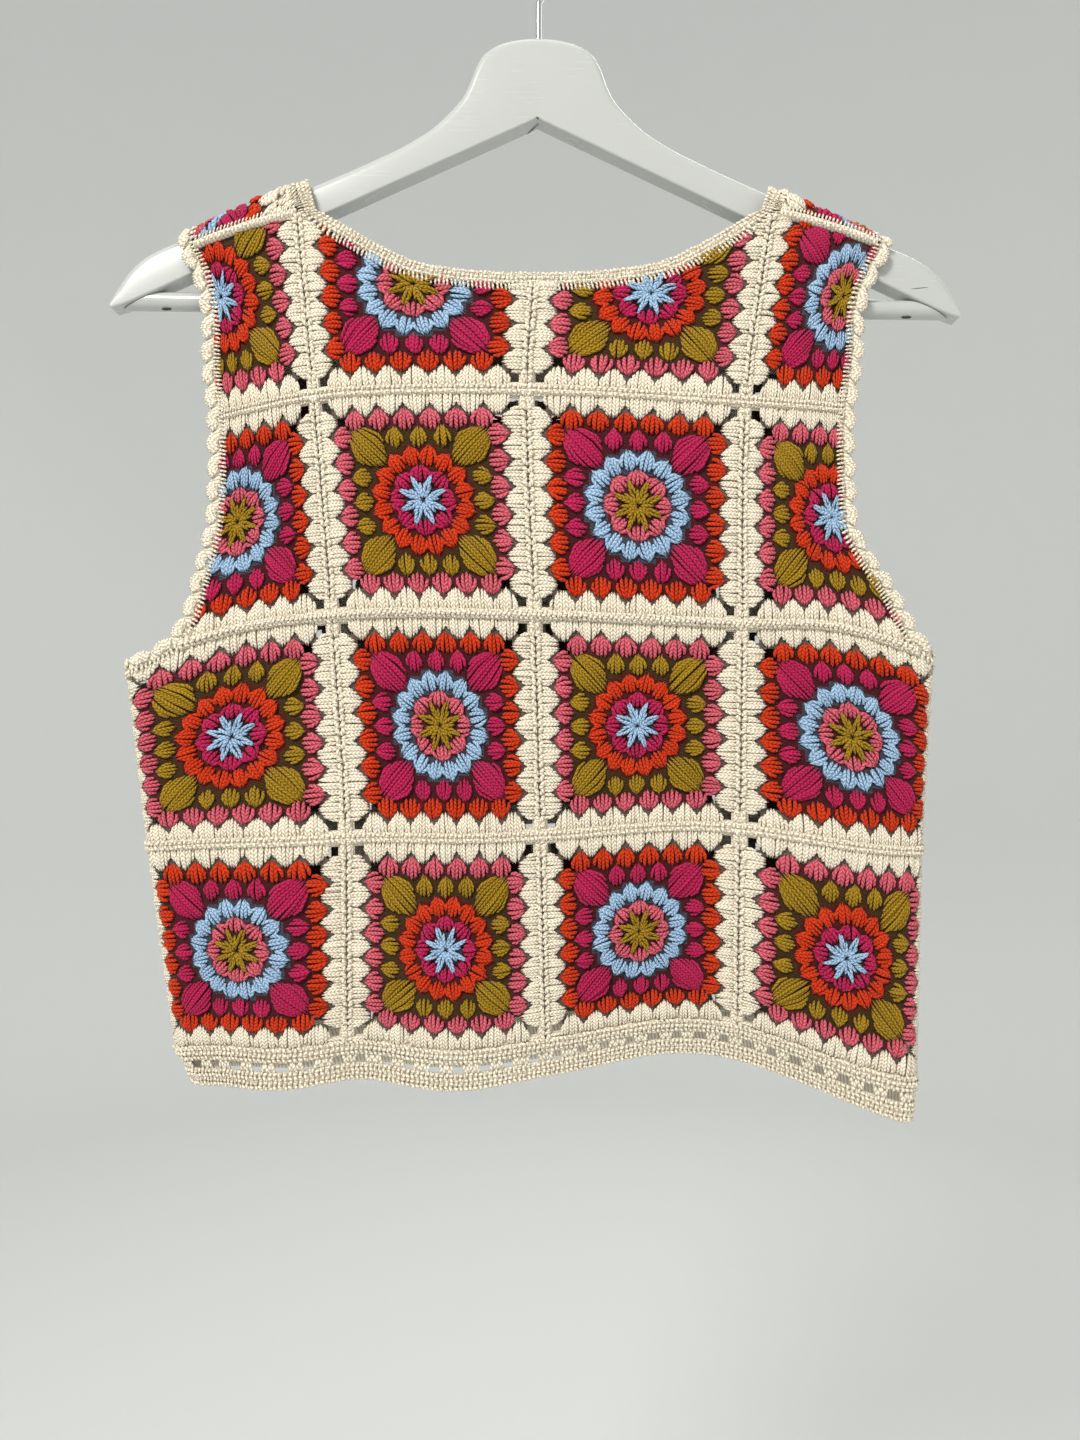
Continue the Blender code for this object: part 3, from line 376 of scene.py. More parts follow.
@dataclass(frozen=True)
class Cut:
    """The openings cut out of the two panels, and the lines along which they are edged."""

    panels: Panels = field(default_factory=Panels)
    back_neck: tuple = mirrored(
        (0.0, -0.1890), (0.0410, -0.1870), (0.0642, -0.1829), (0.0827, -0.1744),
        (0.1018, -0.1633), (0.1100, -0.1585), (0.1155, -0.1560))
    front_neck: tuple = mirrored(
        (0.0, -0.2130), (0.0400, -0.2122), (0.0750, -0.2070), (0.0980, -0.1940),
        (0.1120, -0.1750), (0.1190, -0.1550), (0.1205, -0.1360))
    left_armhole: tuple = ((-0.1870, -0.1775), (-0.1800, -0.1900), (-0.1760, -0.2050),
                           (-0.1750, -0.2370), (-0.1725, -0.2620), (-0.1720, -0.3000),
                           (-0.1730, -0.3180), (-0.1790, -0.3430), (-0.1850, -0.3650),
                           (-0.1930, -0.3780), (-0.2070, -0.3860), (-0.2215, -0.3900))
    right_armhole: tuple = ((0.1840, -0.1765), (0.1765, -0.1900), (0.1710, -0.2030),
                            (0.1690, -0.2320), (0.1650, -0.2600), (0.1650, -0.3000),
                            (0.1670, -0.3220), (0.1750, -0.3360), (0.1840, -0.3490),
                            (0.1930, -0.3660), (0.2000, -0.3780), (0.2125, -0.3860))
    front_armhole_wider: float = 0.004
    neck_width: float = 0.010
    armhole_width: float = 0.009
    armhole_inset: float = 0.0018
    normal_ease: float = 0.018
    spacing: float = 0.0024
    seam_neck_x: float = 0.116
    seam_neck_h: float = -0.1560
    seam_slope: float = 0.1615
    seam_bend: float = 1.95
    seam_half: float = 0.0020
    below_hem: float = -0.70
    side_inset: float = 0.0006

    def shoulder_h(self, x: Array) -> Array:
        """Height of the shoulder seam on the back, a parabola that falls from the neck outwards."""
        outward = np.abs(x) - self.seam_neck_x
        return self.seam_neck_h - self.seam_slope * outward - self.seam_bend * outward**2

    def on_front(self, x: Array, h: Array) -> Array:
        """The front's h that lies where the back's h does."""
        return 2 * (self.panels.spring(x) + self.panels.arch_length) - h

    def seam_line(self, side: Side, x: Array) -> Array:
        """Flat points of one panel along the shoulder seam."""
        h = self.shoulder_h(x)
        return np.stack([x, self.on_front(x, h) if side is Side.FRONT else h], -1)

    def seam_direction(self, x: float, side: Side) -> Array:
        """Unit vector along the shoulder seam, away from the neck."""
        ends = self.seam_line(side, np.array([x, x + math.copysign(self.seam_half, x)]))
        return (ends[1] - ends[0]) / np.linalg.norm(ends[1] - ends[0])

    def even_points(self, path: Array) -> Array:
        """Points spaced evenly along a smooth curve through path, ends included.

        Args:
            path: points on the line.
        Returns:
            the points.
        """
        path = np.array(path)
        places = along(path)
        fine = np.linspace(0, places[-1], 400)
        curve = np.stack([smooth(places, path[:, i], fine) for i in (0, 1)], -1)
        length = along(curve)
        at = np.linspace(0, length[-1], max(2, round(length[-1] / self.spacing)) + 1)
        return np.stack([np.interp(at, length, curve[:, i]) for i in (0, 1)], -1)

    def normals(self, points: Array, first: Array, last: Array, towards: int) -> Array:
        """Unit vectors across a line, turned to the given ones over a short length at its ends.

        Args:
            points: the line.
            first: the vector at its start.
            last: the vector at its end.
            towards: 1 or -1, the side of the line on which the cloth lies.
        Returns:
            one vector for each point.
        """
        direction = np.gradient(points, axis=0)
        found = np.stack([-direction[:, 1], direction[:, 0]], -1) * towards
        found /= np.linalg.norm(found, axis=1, keepdims=True)
        start = along(points)
        for end, distance in ((first, start), (last, start[-1] - start)):
            share = ease(distance / self.normal_ease)[:, None]
            found = found * share + np.array(end) * (1 - share)
            found /= np.linalg.norm(found, axis=1, keepdims=True)
        return found

    def neck_line(self, side: Side) -> tuple[Array, Array]:
        """The neck's edge in one panel, left to right, and its normals into the cloth.

        Args:
            side: the panel.
        Returns:
            flat points and unit vectors.
        """
        path = list(self.back_neck if side is Side.BACK else self.front_neck)
        ends = (self.back_neck[0], self.back_neck[-1])
        if side is Side.FRONT:
            over = [(x, float(self.on_front(x, h))) for x, h in ends]
            path = [over[0], *path, over[1]]
        points = self.even_points(path)
        turned = [self.seam_direction(x, side) for x, _ in ends]
        return points, self.normals(points, *turned, towards=-1)

    def armhole_line(self, side: Side, column: int) -> tuple[Array, Array]:
        """An armhole's edge in one panel, from the shoulder to the side, and its normals.

        Args:
            side: the panel.
            column: 0 for the left armhole, -1 for the right one.
        Returns:
            flat points and unit vectors into the cloth.
        """
        path = np.array(self.right_armhole if column else self.left_armhole)
        outwards = 1 if column else -1
        x, h = path[0]
        if side is Side.FRONT:
            share = np.sin(np.linspace(0, math.pi, len(path)))
            path[:, 0] += outwards * self.front_armhole_wider * share
            apex = float(self.panels.spring(x) + self.panels.arch_length)
            path = np.array([(x, float(self.on_front(x, h))), (x, apex), *path])
        points = self.even_points(path)
        edge = self.panels.edge_x(np.array([-0.42, -0.40]), column)
        down = np.array([edge[0] - edge[1], -0.02])
        first = -self.seam_direction(x, side)
        return points, self.normals(points, first, down / np.linalg.norm(down), -outwards)

    def outline(self, side: Side, under: float) -> Array:
        """The polygon inside which a panel's stitches lie.

        Args:
            side: the panel.
            under: how far the stitches reach in under the edgings.
        Returns:
            flat points.
        """
        neck, normals = self.neck_line(side)
        neck = neck + normals * (self.neck_width - under)
        flanks = []
        for column in (0, -1):
            points, normals = self.armhole_line(side, column)
            edge = points + normals * (self.armhole_width + self.armhole_inset - under)
            inwards = -1 if column else 1
            edge = edge[self.panels.side_distance(edge[:, 0], edge[:, 1]) > under / 2]
            heights = np.linspace(edge[-1, 1] - self.spacing, self.below_hem, 60)
            side_x = self.panels.edge_x(heights, column) + inwards * self.side_inset
            flanks.append(np.concatenate([edge, np.stack([side_x, heights], -1)]))
        left = self.seam_line(side, np.linspace(flanks[0][0, 0], neck[0, 0], 16)[1:-1])
        right = self.seam_line(side, np.linspace(neck[-1, 0], flanks[1][0, 0], 16)[1:-1])
        return np.concatenate([flanks[0][::-1], left, neck, right, flanks[1]])


# ---------------------------------------------------------------- strands of yarn

Place = Callable[[Array], tuple[Array, Array, Array]]


@dataclass
class Strands:
    """Many strands of yarn, each a quadratic curve in the flat with a width and a height.

    The arrays hold one entry for each strand: start, control and end points, width, height of the
    strand's ends over the wall's middle, how much higher its middle stands, and its yarn.
    """

    start: Array
    control: Array
    end: Array
    width: Array
    height: Array
    puff: Array
    yarn: Array

    RING_AT = np.array([0.16, 0.50, 0.84])
    RING_SHARE = np.array([0.80, 1.0, 0.80])
    SIDES = 5
    FLATTEN = 0.92

    @staticmethod
    def of(start: Array, control: Array, end: Array, width: float, height: Array, puff: Array,
           yarn: Yarn) -> "Strands":
        """Strands of one yarn from arrays or single values, spread to one entry each.

        Args:
            start: where each begins.
            control: what pulls its middle.
            end: where it ends.
            width: of a strand.
            height: of its ends.
            puff: how far its middle stands up.
            yarn: of all of them.
        Returns:
            the strands.
        """
        count = len(start)
        full = [np.broadcast_to(np.asarray(v, float), (count,)) for v in (width, height, puff)]
        return Strands(start, control, end, *full, np.full(count, yarn.value))

    @staticmethod
    def straight(start: Array, end: Array, width: float, height: Array, puff: Array,
                 yarn: Yarn) -> "Strands":
        """Strands that run straight from start to end."""
        return Strands.of(start, (start + end) / 2, end, width, height, puff, yarn)

    @staticmethod
    def joined(parts: list["Strands"]) -> "Strands":
        """All the parts' strands as one."""
        names = ("start", "control", "end", "width", "height", "puff", "yarn")
        return Strands(*(np.concatenate([getattr(p, n) for p in parts]) for n in names))

    def at(self, t: Array) -> Array:
        """Points (1-t)^2 start + 2t(1-t) control + t^2 end, as strands by places by two.

        Args:
            t: shares of the way, 0 to 1.
        Returns:
            the points.
        """
        t = np.asarray(t)[None, :, None]
        a, b, c = (p[:, None] for p in (self.start, self.control, self.end))
        return (1 - t) ** 2 * a + 2 * t * (1 - t) * b + t * t * c

    def jittered(self, amount: float, seed: int) -> "Strands":
        """The strands with their ends and middles moved a little, the same way each run.

        Args:
            amount: standard deviation in metres.
            seed: of the moves.
        Returns:
            the moved strands.
        """
        rng = np.random.default_rng(seed)
        moved = [p + rng.normal(0, amount, p.shape) for p in (self.start, self.control, self.end)]
        rise = rng.normal(0, amount, len(self.width))
        return Strands(*moved, self.width, self.height + rise, self.puff, self.yarn)

    def clipped(self, flat: Callable[[Array], Array], outline: Array) -> "Strands":
        """Cuts each strand to its stretch inside an outline and drops what lies outside.

        The cut stretch from t0 to t1 keeps the curve, by its blossom: start P(t0), end P(t1) and
        control (1-t0)(1-t1) start + (t0+t1-2 t0 t1) control + t0 t1 end.

        Args:
            flat: gives the flat (x, h) of the strands' own points.
            outline: polygon of flat points.
        Returns:
            the strands that are left.
        """
        t = np.linspace(0, 1, 11)
        points = flat(self.at(t))
        inside = is_inside(points.reshape(-1, 2), outline).reshape(points.shape[:2])
        t0 = t[inside.argmax(1)]
        t1 = t[len(t) - 1 - inside[:, ::-1].argmax(1)]
        keep = (inside.sum(1) >= 3) & (t1 - t0 > 0.4)
        t0, t1 = t0[keep, None], t1[keep, None]
        a, b, c = self.start[keep], self.control[keep], self.end[keep]

        def on_curve(s: Array) -> Array:
            """The curve's point at s of each strand."""
            return (1 - s) ** 2 * a + 2 * s * (1 - s) * b + s * s * c

        control = (1 - t0) * (1 - t1) * a + (t0 + t1 - 2 * t0 * t1) * b + t0 * t1 * c
        rest = (self.width[keep], self.height[keep], self.puff[keep], self.yarn[keep])
        return Strands(on_curve(t0), control, on_curve(t1), *rest)

    def mesh_arrays(self, panels: Panels, place: Place, seed: int) -> "MeshArrays":
        """Tubes of SIDES corners by three rings with a pole at each end.

        A ring at t lies at P(t) + across * r cos(a), raised by height + puff sin(pi t) + r sin(a).

        Args:
            panels: hangs the flat points.
            place: gives side, x and h of the strands' own points.
            seed: of each strand's tone and of where its twist begins.
        Returns:
            arrays for one mesh.
        """
        count, sides, rings = len(self.width), self.SIDES, len(self.RING_AT)
        centres = self.at(self.RING_AT)
        delta = self.at(self.RING_AT + 0.02) - self.at(self.RING_AT - 0.02)
        across = np.stack([-delta[..., 1], delta[..., 0]], -1)
        across /= np.linalg.norm(across, axis=-1, keepdims=True) + 1e-12
        around = np.arange(sides) * 2 * math.pi / sides
        radius = self.width[:, None] / 2 * self.RING_SHARE
        flat = centres[:, :, None] + across[:, :, None] * (
            radius[..., None] * np.cos(around))[..., None]
        lift = self.height[:, None] + self.puff[:, None] * np.sin(math.pi * self.RING_AT)
        out = lift[..., None] + radius[..., None] * np.sin(around) * self.FLATTEN
        poles = self.at(np.array([0.0, 1.0]))
        pole_out = np.repeat(self.height[:, None], 2, 1)
        flat = np.concatenate([poles, flat.reshape(count, -1, 2)], 1)
        out = np.concatenate([pole_out, out.reshape(count, -1)], 1)
        side, x, h = place(flat)
        points = panels.hang(side, x, h, out)

        ring = 2 + np.arange(rings * sides).reshape(rings, sides)
        after = np.roll(ring, -1, axis=1)
        first = np.stack([np.zeros(sides, int), after[0], ring[0]], 1)
        last = np.stack([np.ones(sides, int), ring[-1], after[-1]], 1)
        quads = np.stack([ring[:-1], after[:-1], after[1:], ring[1:]], -1).reshape(-1, 4)
        corners = np.concatenate([first.ravel(), quads.ravel(), last.ravel()])
        sizes = np.concatenate([np.full(sides, 3), np.full(len(quads), 4), np.full(sides, 3)])

        turn = np.arange(sides)[:, None]
        v = np.concatenate([((turn + (0.5, 1, 0)) / sides).ravel(),
                            np.tile(((turn + (0, 1, 1, 0)) / sides).ravel(), rings - 1),
                            ((turn + (0.5, 0, 1)) / sides).ravel()])
        low, high = self.RING_AT[:-1], self.RING_AT[1:]
        t_quad = np.repeat(np.stack([low, low, high, high], -1), sides, 0)
        t_all = np.concatenate([np.tile([0, low[0], low[0]], sides), t_quad.ravel(),
                                np.tile([1, high[-1], high[-1]], sides)])
        length = np.linalg.norm(self.end - self.start, axis=1) / MM
        rng = np.random.default_rng(seed)
        tone = rng.random(count)
        hand = np.where(np.arange(count) % 2, 1, -1)[:, None]
        u = hand * length[:, None] * t_all + 40 * tone[:, None]
        uv = np.stack([u, np.broadcast_to(v, u.shape)], -1)

        per = 2 + rings * sides
        return MeshArrays(
            points.reshape(-1, 3),
            (corners + per * np.arange(count)[:, None]).ravel(),
            np.tile(sizes, count),
            np.repeat(self.yarn, len(sizes)),
            uv.reshape(-1, 2),
            np.repeat(tone, per),
        )


@dataclass
class MeshArrays:
    """A mesh as whole arrays: points, face corners, face sizes, slots, UVs and point tones, which
    also mark painted shade.
    """

    points: Array
    corners: Array
    sizes: Array
    slots: Array
    uv: Array
    tone: Array

    @staticmethod
    def joined(parts: list["MeshArrays"]) -> "MeshArrays":
        """The parts' arrays one after another, their corners renumbered.

        Args:
            parts: in the order in which they follow.
        Returns:
            one mesh's arrays.
        """
        starts = np.cumsum([0, *(len(p.points) for p in parts[:-1])])
        return MeshArrays(
            np.concatenate([p.points for p in parts]),
            np.concatenate([p.corners + s for p, s in zip(parts, starts, strict=True)]),
            *(np.concatenate([getattr(p, n) for p in parts])
              for n in ("sizes", "slots", "uv", "tone")),
        )

    def turned_out(self) -> "MeshArrays":
        """The arrays with every face reversed if the mesh encloses a negative volume.

        Returns:
            the arrays, with their faces outward.
        """
        starts = np.cumsum(self.sizes) - self.sizes
        a = self.points[self.corners[starts]]
        volume = 0.0
        for i in (1, 2):
            has = self.sizes > i + 1
            b = self.points[self.corners[starts[has] + i]]
            c = self.points[self.corners[starts[has] + i + 1]]
            volume += np.einsum("ij,ij->", a[has], np.cross(b, c))
        if volume > 0:
            return self
        face = np.repeat(np.arange(len(self.sizes)), self.sizes)
        order = 2 * starts[face] + self.sizes[face] - 1 - np.arange(len(self.corners))
        return MeshArrays(self.points, self.corners[order], self.sizes, self.slots,
                          self.uv[order], self.tone)

    def to_object(self, name: str, materials: list[bpy.types.Material]) -> bpy.types.Object:
        """Makes one object of the arrays, its place in its mesh.

        Args:
            name: the object's name.
            materials: one for each slot number.
        Returns:
            the new object.
        """
        arrays = self.turned_out()
        mesh = bpy.data.meshes.new(name)
        mesh.vertices.add(len(arrays.points))
        mesh.vertices.foreach_set("co", arrays.points.ravel())
        mesh.loops.add(len(arrays.corners))
        mesh.loops.foreach_set("vertex_index", arrays.corners.astype(np.int32))
        mesh.polygons.add(len(arrays.sizes))
        starts = np.cumsum(arrays.sizes) - arrays.sizes
        mesh.polygons.foreach_set("loop_start", starts.astype(np.int32))
        mesh.polygons.foreach_set("material_index", arrays.slots.astype(np.int32))
        mesh.polygons.foreach_set("use_smooth", np.ones(len(arrays.sizes), bool))
        layer = mesh.uv_layers.new(name="strand")
        layer.data.foreach_set("uv", arrays.uv.ravel())
        tone = mesh.attributes.new("tone", "FLOAT", "POINT")
        tone.data.foreach_set("value", arrays.tone)
        for material in materials:
            mesh.materials.append(material)
        mesh.update(calc_edges=True)
        mesh.validate()
        piece = bpy.data.objects.new(name, mesh)
        bpy.context.scene.collection.objects.link(piece)
        return piece


def ring_faces(rings: int, around: int, closed: bool) -> tuple[Array, Array]:
    """Faces of a surface through rings of points.

    Args:
        rings: how many.
        around: points in each.
        closed: whether the last ring joins the first; if not, both ends get a face.
    Returns:
        face corners, and how many of them each face has.
    """
    index = np.arange(rings * around).reshape(rings, around)
    if closed:
        index = np.concatenate([index, index[:1]])
    after = np.roll(index, -1, axis=1)
    quads = np.stack([index[:-1], after[:-1], after[1:], index[1:]], -1).reshape(-1, 4)
    sizes = np.full(len(quads), 4)
    if closed:
        return quads.ravel(), sizes
    return (np.concatenate([quads.ravel(), index[0, ::-1], index[-1]]),
            np.concatenate([sizes, [around, around]]))


def grid_arrays(outer: Array, inner: Array, closed: bool, yarn: Yarn, cell: float) -> MeshArrays:
    """A closed wall between an outer and an inner grid of points.

    Args:
        outer: rows by columns by three.
        inner: the same, on the wall's other face.
        closed: whether the last row joins the first.
        yarn: the slot.
        cell: metres from one row to the next, for the UVs.
    Returns:
        arrays for one mesh.
    """
    rows, columns = outer.shape[:2]
    ring = np.concatenate([outer, inner[:, ::-1]], 1)
    around = 2 * columns
    corners, sizes = ring_faces(rows, around, closed)
    spans = rows - (not closed)
    u = np.repeat(np.arange(spans), around)[:, None] + np.array([0, 0, 1, 1])
    v = np.tile(np.arange(around), spans)[:, None] + np.array([0, 1, 1, 0])
    uv = np.stack([u * cell / MM, v / around], -1).reshape(-1, 2)
    if not closed:
        uv = np.concatenate([uv, np.zeros((2 * around, 2))])
    return MeshArrays(ring.reshape(-1, 3), corners, sizes, np.full(len(sizes), yarn.value), uv,
                      np.full(rows * around, 0.5))


def dress(name: str, arrays: MeshArrays, materials: list[bpy.types.Material], slot: str,
          *nodes: str) -> bpy.types.Object:
    """Makes a piece, rides it on the body and hides the nodes that it stands for.

    Args:
        name: of the piece.
        arrays: its mesh.
        materials: one for each slot number.
        slot: not used.
        nodes: what it stands for.
    Returns:
        the piece.
    """
    piece = arrays.to_object(name, materials)
    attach(piece, BODY)
    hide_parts(*nodes)
    LOG.info("%s: %d faces", name, len(arrays.sizes))
    return piece


def cell_arrays(outer: Array, inner: Array, keep: Array, yarns: Array, tone: Array) -> MeshArrays:
    """A closed wall made of the kept cells of a grid, joined round every edge.

    Args:
        outer: rows by columns by three.
        inner: the same, on the wall's other face.
        keep: one truth for each cell.
        yarns: one slot for each cell.
        tone: one for each point of the grid; under -1 the yarn twist paints it as shade.
    Returns:
        arrays for one mesh.
    """
    for _ in range(3):
        a, b, c, d = keep[:-1, :-1], keep[:-1, 1:], keep[1:, :-1], keep[1:, 1:]
        touch = (a & d & ~b & ~c) | (b & c & ~a & ~d)
        keep = keep.copy()
        keep[:-1, :-1] &= ~touch
        keep[:-1, 1:] &= ~touch
    rows, columns = outer.shape[:2]
    index = np.arange(rows * columns).reshape(rows, columns)
    below = rows * columns
    cell = np.stack([index[:-1, :-1], index[1:, :-1], index[1:, 1:], index[:-1, 1:]], -1)
    faces, slots = [cell[keep], cell[keep][:, ::-1] + below], [yarns[keep], yarns[keep]]
    padded = np.pad(keep, 1)
    centre = padded[1:-1, 1:-1]
    for side, shifted in enumerate((padded[1:-1, :-2], padded[2:, 1:-1], padded[1:-1, 2:],
                                    padded[:-2, 1:-1])):
        border = centre & ~shifted
        a, b = cell[border][:, side], cell[border][:, (side + 1) % 4]
        faces.append(np.stack([a, a + below, b + below, b], -1))
        slots.append(yarns[border])
    corners = np.concatenate(faces)
    used, corners = np.unique(corners, return_inverse=True)
    points = np.concatenate([outer.reshape(-1, 3), inner.reshape(-1, 3)])[used]
    corners = corners.reshape(-1, 4)
    uv = np.tile(np.array([(0, 0), (2.9, 0), (2.9, 1), (0, 1)]), (len(corners), 1))
    return MeshArrays(points, corners.ravel(), np.full(len(corners), 4), np.concatenate(slots), uv,
                      np.tile(tone.ravel(), 2)[used])


# ---------------------------------------------------------------- finishes


def plug(tree: bpy.types.NodeTree, target: bpy.types.NodeSocket, value: object) -> None:
    """Links a socket to an input, or sets the input's value.

    Args:
        tree: the node tree.
        target: the input.
        value: socket or value.
    """
    if isinstance(value, bpy.types.NodeSocket):
        tree.links.new(value, target)
    else:
        target.default_value = value


def add_node(tree: bpy.types.NodeTree, kind: str, inputs: dict[object, object],
             **settings: object) -> bpy.types.Node:
    """Adds a shader node.

    Args:
        tree: the node tree.
        kind: the node's type, without its prefix.
        inputs: name or number of an input to its value or to the socket that feeds it.
        settings: the node's own properties.
    Returns:
        the node.
    """
    node = tree.nodes.new(f"ShaderNode{kind}")
    for key, value in settings.items():
        setattr(node, key, value)
    for key, value in inputs.items():
        plug(tree, node.inputs[key], value)
    return node


def math_node(tree: bpy.types.NodeTree, operation: str, *values: object) -> bpy.types.NodeSocket:
    """The output of a new Math node, each of its inputs a number or a socket."""
    return add_node(tree, "Math", dict(enumerate(values)), operation=operation).outputs[0]


def new_group(name: str, inputs: dict[str, object]) -> tuple:
    """A shader node group that gives Colour, Roughness and Normal.

    Args:
        name: of the group.
        inputs: name to first value, a colour or a number.
    Returns:
        the group, the sockets that bring its inputs and the sockets that take its outputs.
    """
    group = bpy.data.node_groups.new(name, "ShaderNodeTree")
    for key, value in inputs.items():
        kind = "NodeSocketColor" if isinstance(value, tuple) else "NodeSocketFloat"
        group.interface.new_socket(key, in_out="INPUT", socket_type=kind).default_value = value
    for key, kind in (("Colour", "Color"), ("Roughness", "Float"), ("Normal", "Vector")):
        group.interface.new_socket(key, in_out="OUTPUT", socket_type=f"NodeSocket{kind}")
    given, result = (group.nodes.new(f"NodeGroup{end}") for end in ("Input", "Output"))
    return group, given.outputs, result.inputs


def finished(name: str, effect: bpy.types.NodeTree, given: dict[str, object],
             own: dict[str, float]) -> bpy.types.Material:
    """A material whose shader takes colour, roughness and normal from a group.

    Args:
        name: of the material.
        effect: the group.
        given: values of the group's inputs.
        own: values of the shader's own inputs.
    Returns:
        the material.
    """
    material = bpy.data.materials.new(name)
    material.use_nodes = True
    tree = material.node_tree
    shader = tree.nodes["Principled BSDF"]
    group = add_node(tree, "Group", given, node_tree=effect)
    for output, target in (("Colour", "Base Color"), ("Roughness",) * 2, ("Normal",) * 2):
        plug(tree, shader.inputs[target], group.outputs[output])
    for key, value in own.items():
        plug(tree, shader.inputs[key], value)
    return material


class Finishes:
    """Node groups that the materials share."""

    def __init__(self) -> None:
        """Builds each group once."""
        self.twist = self.build_twist()
        self.wear = self.build_wear()

    def build_twist(self) -> bpy.types.NodeTree:
        """Yarn: plies that wind round the strand, and finer fibres.

        With u in millimetres along the strand and v in turns round it, a ply's height is
        1 - |2 fract(rate u + plies v) - 1|^2, and fibres are noise drawn out along the plies. The
        colour runs from Shade, painted shade in the grooves between plies, to Colour on the plies.
        Where the tone attribute is under -1 the colour is mixed near black: painted shade
        on the ground between the stitches.

        Returns:
            the group.
        """
        group, given, result = new_group("yarn twist", {
            "Colour": (0.8, 0.8, 0.8, 1), "Shade": (0.4, 0.4, 0.4, 1), "Plies": 2.0,
            "Rate": 0.5, "Relief": 0.5})
        uv = add_node(group, "UVMap", {}, uv_map="strand")
        u, v = add_node(group, "SeparateXYZ", {0: uv.outputs[0]}).outputs[:2]
        phase = math_node(group, "ADD", math_node(group, "MULTIPLY", u, given["Rate"]),
                          math_node(group, "MULTIPLY", v, given["Plies"]))
        saw = math_node(group, "ABSOLUTE", math_node(
            group, "MULTIPLY_ADD", math_node(group, "FRACT", phase), 2.0, -1.0))
        ply = math_node(group, "SUBTRACT", 1.0, math_node(group, "POWER", saw, 2.0))
        drawn = add_node(group, "CombineXYZ", {0: math_node(group, "MULTIPLY", phase, 7.0),
                                               1: math_node(group, "MULTIPLY", u, 0.5)})
        fibre = add_node(group, "TexNoise", {"Scale": 1.0, "Detail": 2.0,
                                             "Vector": drawn.outputs[0]}).outputs["Fac"]
        tone = add_node(group, "Attribute", {}, attribute_name="tone").outputs["Fac"]
        light = math_node(group, "MULTIPLY_ADD", tone, 0.22, -0.14)
        light = math_node(group, "MULTIPLY_ADD", fibre, 0.40, light)
        share = add_node(group, "Clamp", {0: math_node(group, "MULTIPLY_ADD", ply, 0.80, light)})
        # Shade in the ply grooves is painted shade; Colour is the yarn's own colour
        mix = add_node(group, "Mix", {"Factor": share.outputs[0], "A": given["Shade"],
                                      "B": given["Colour"]}, data_type="RGBA")
        # Points with a tone under -1 are mixed towards near black (0.02, 0.008, 0.006): painted
        # shade between the stitches
        under = math_node(group, "MULTIPLY", math_node(group, "LESS_THAN", tone, -1.0), 0.82)
        with_painted_shade = add_node(group, "Mix", {"Factor": under, "A": mix.outputs["Result"],
                                       "B": (0.02, 0.008, 0.006, 1)}, data_type="RGBA")
        bump = add_node(group, "Bump", {
            "Distance": 0.0006, "Strength": given["Relief"],
            "Height": math_node(group, "MULTIPLY_ADD", fibre, 0.35, ply)})
        plug(group, result["Colour"], with_painted_shade.outputs["Result"])
        plug(group, result["Roughness"], math_node(group, "MULTIPLY_ADD", fibre, 0.2, 0.72))
        plug(group, result["Normal"], bump.outputs[0])
        return group

    def build_wear(self) -> bpy.types.NodeTree:
        """Handled surface: broad dull patches, fine scratches along x and small uneven relief.

        Returns:
            the group.
        """
        group, given, result = new_group("handled surface", {
            "Colour": (0.8, 0.8, 0.8, 1), "Worn": (0.6, 0.6, 0.6, 1), "Polish": 0.2,
            "Relief": 0.05})
        place = add_node(group, "TexCoord", {}).outputs["Object"]
        patches = add_node(group, "TexNoise", {"Scale": 38.0, "Detail": 4.0,
                                               "Vector": place}).outputs["Fac"]
        drawn = add_node(group, "Mapping", {"Scale": (30.0, 700.0, 700.0), "Vector": place})
        lines = add_node(group, "TexNoise", {"Scale": 1.0, "Vector": drawn.outputs[0]})
        share = math_node(group, "MULTIPLY", patches, lines.outputs["Fac"])
        share = math_node(group, "MULTIPLY", share, share)
        mix = add_node(group, "Mix", {"Factor": share, "A": given["Colour"],
                                      "B": given["Worn"]}, data_type="RGBA")
        bump = add_node(group, "Bump", {"Distance": 0.0005, "Strength": given["Relief"],
                                        "Height": patches})
        plug(group, result["Colour"], mix.outputs["Result"])
        plug(group, result["Roughness"],
             math_node(group, "MULTIPLY_ADD", share, 0.5, given["Polish"]))
        plug(group, result["Normal"], bump.outputs[0])
        return group


@dataclass(frozen=True)
class YarnFinish:
    """Cotton yarn of one colour."""

    name: str
    colour: tuple[float, float, float]
    shade: tuple[float, float, float]
    sheen: float = 0.10
    relief: float = 0.7

    def build(self, finishes: Finishes) -> bpy.types.Material:
        """The material, with the twist group's values set for this yarn.

        Args:
            finishes: the shared groups.
        Returns:
            the material.
        """
        given = {"Colour": (*self.colour, 1.0), "Shade": (*self.shade, 1.0),
                 "Relief": self.relief}
        return finished(self.name, finishes.twist, given, {
            "Sheen Weight": self.sheen, "Sheen Roughness": 0.5, "Specular IOR Level": 0.12})


@dataclass(frozen=True)
class HardFinish:
    """Painted wood, bright wire, and the painted shade in slots and cracks."""

    name: str
    colour: tuple[float, float, float]
    worn: tuple[float, float, float]
    polish: float
    relief: float
    metallic: float = 0.0
    coat: float = 0.0

    def build(self, finishes: Finishes) -> bpy.types.Material:
        """The material, with the handled surface's values set for this finish.

        Args:
            finishes: the shared groups.
        Returns:
            the material.
        """
        given = {"Colour": (*self.colour, 1.0), "Worn": (*self.worn, 1.0),
                 "Polish": self.polish, "Relief": self.relief}
        return finished(self.name, finishes.wear, given, {
            "Metallic": self.metallic, "Coat Weight": self.coat, "Coat Roughness": 0.08})
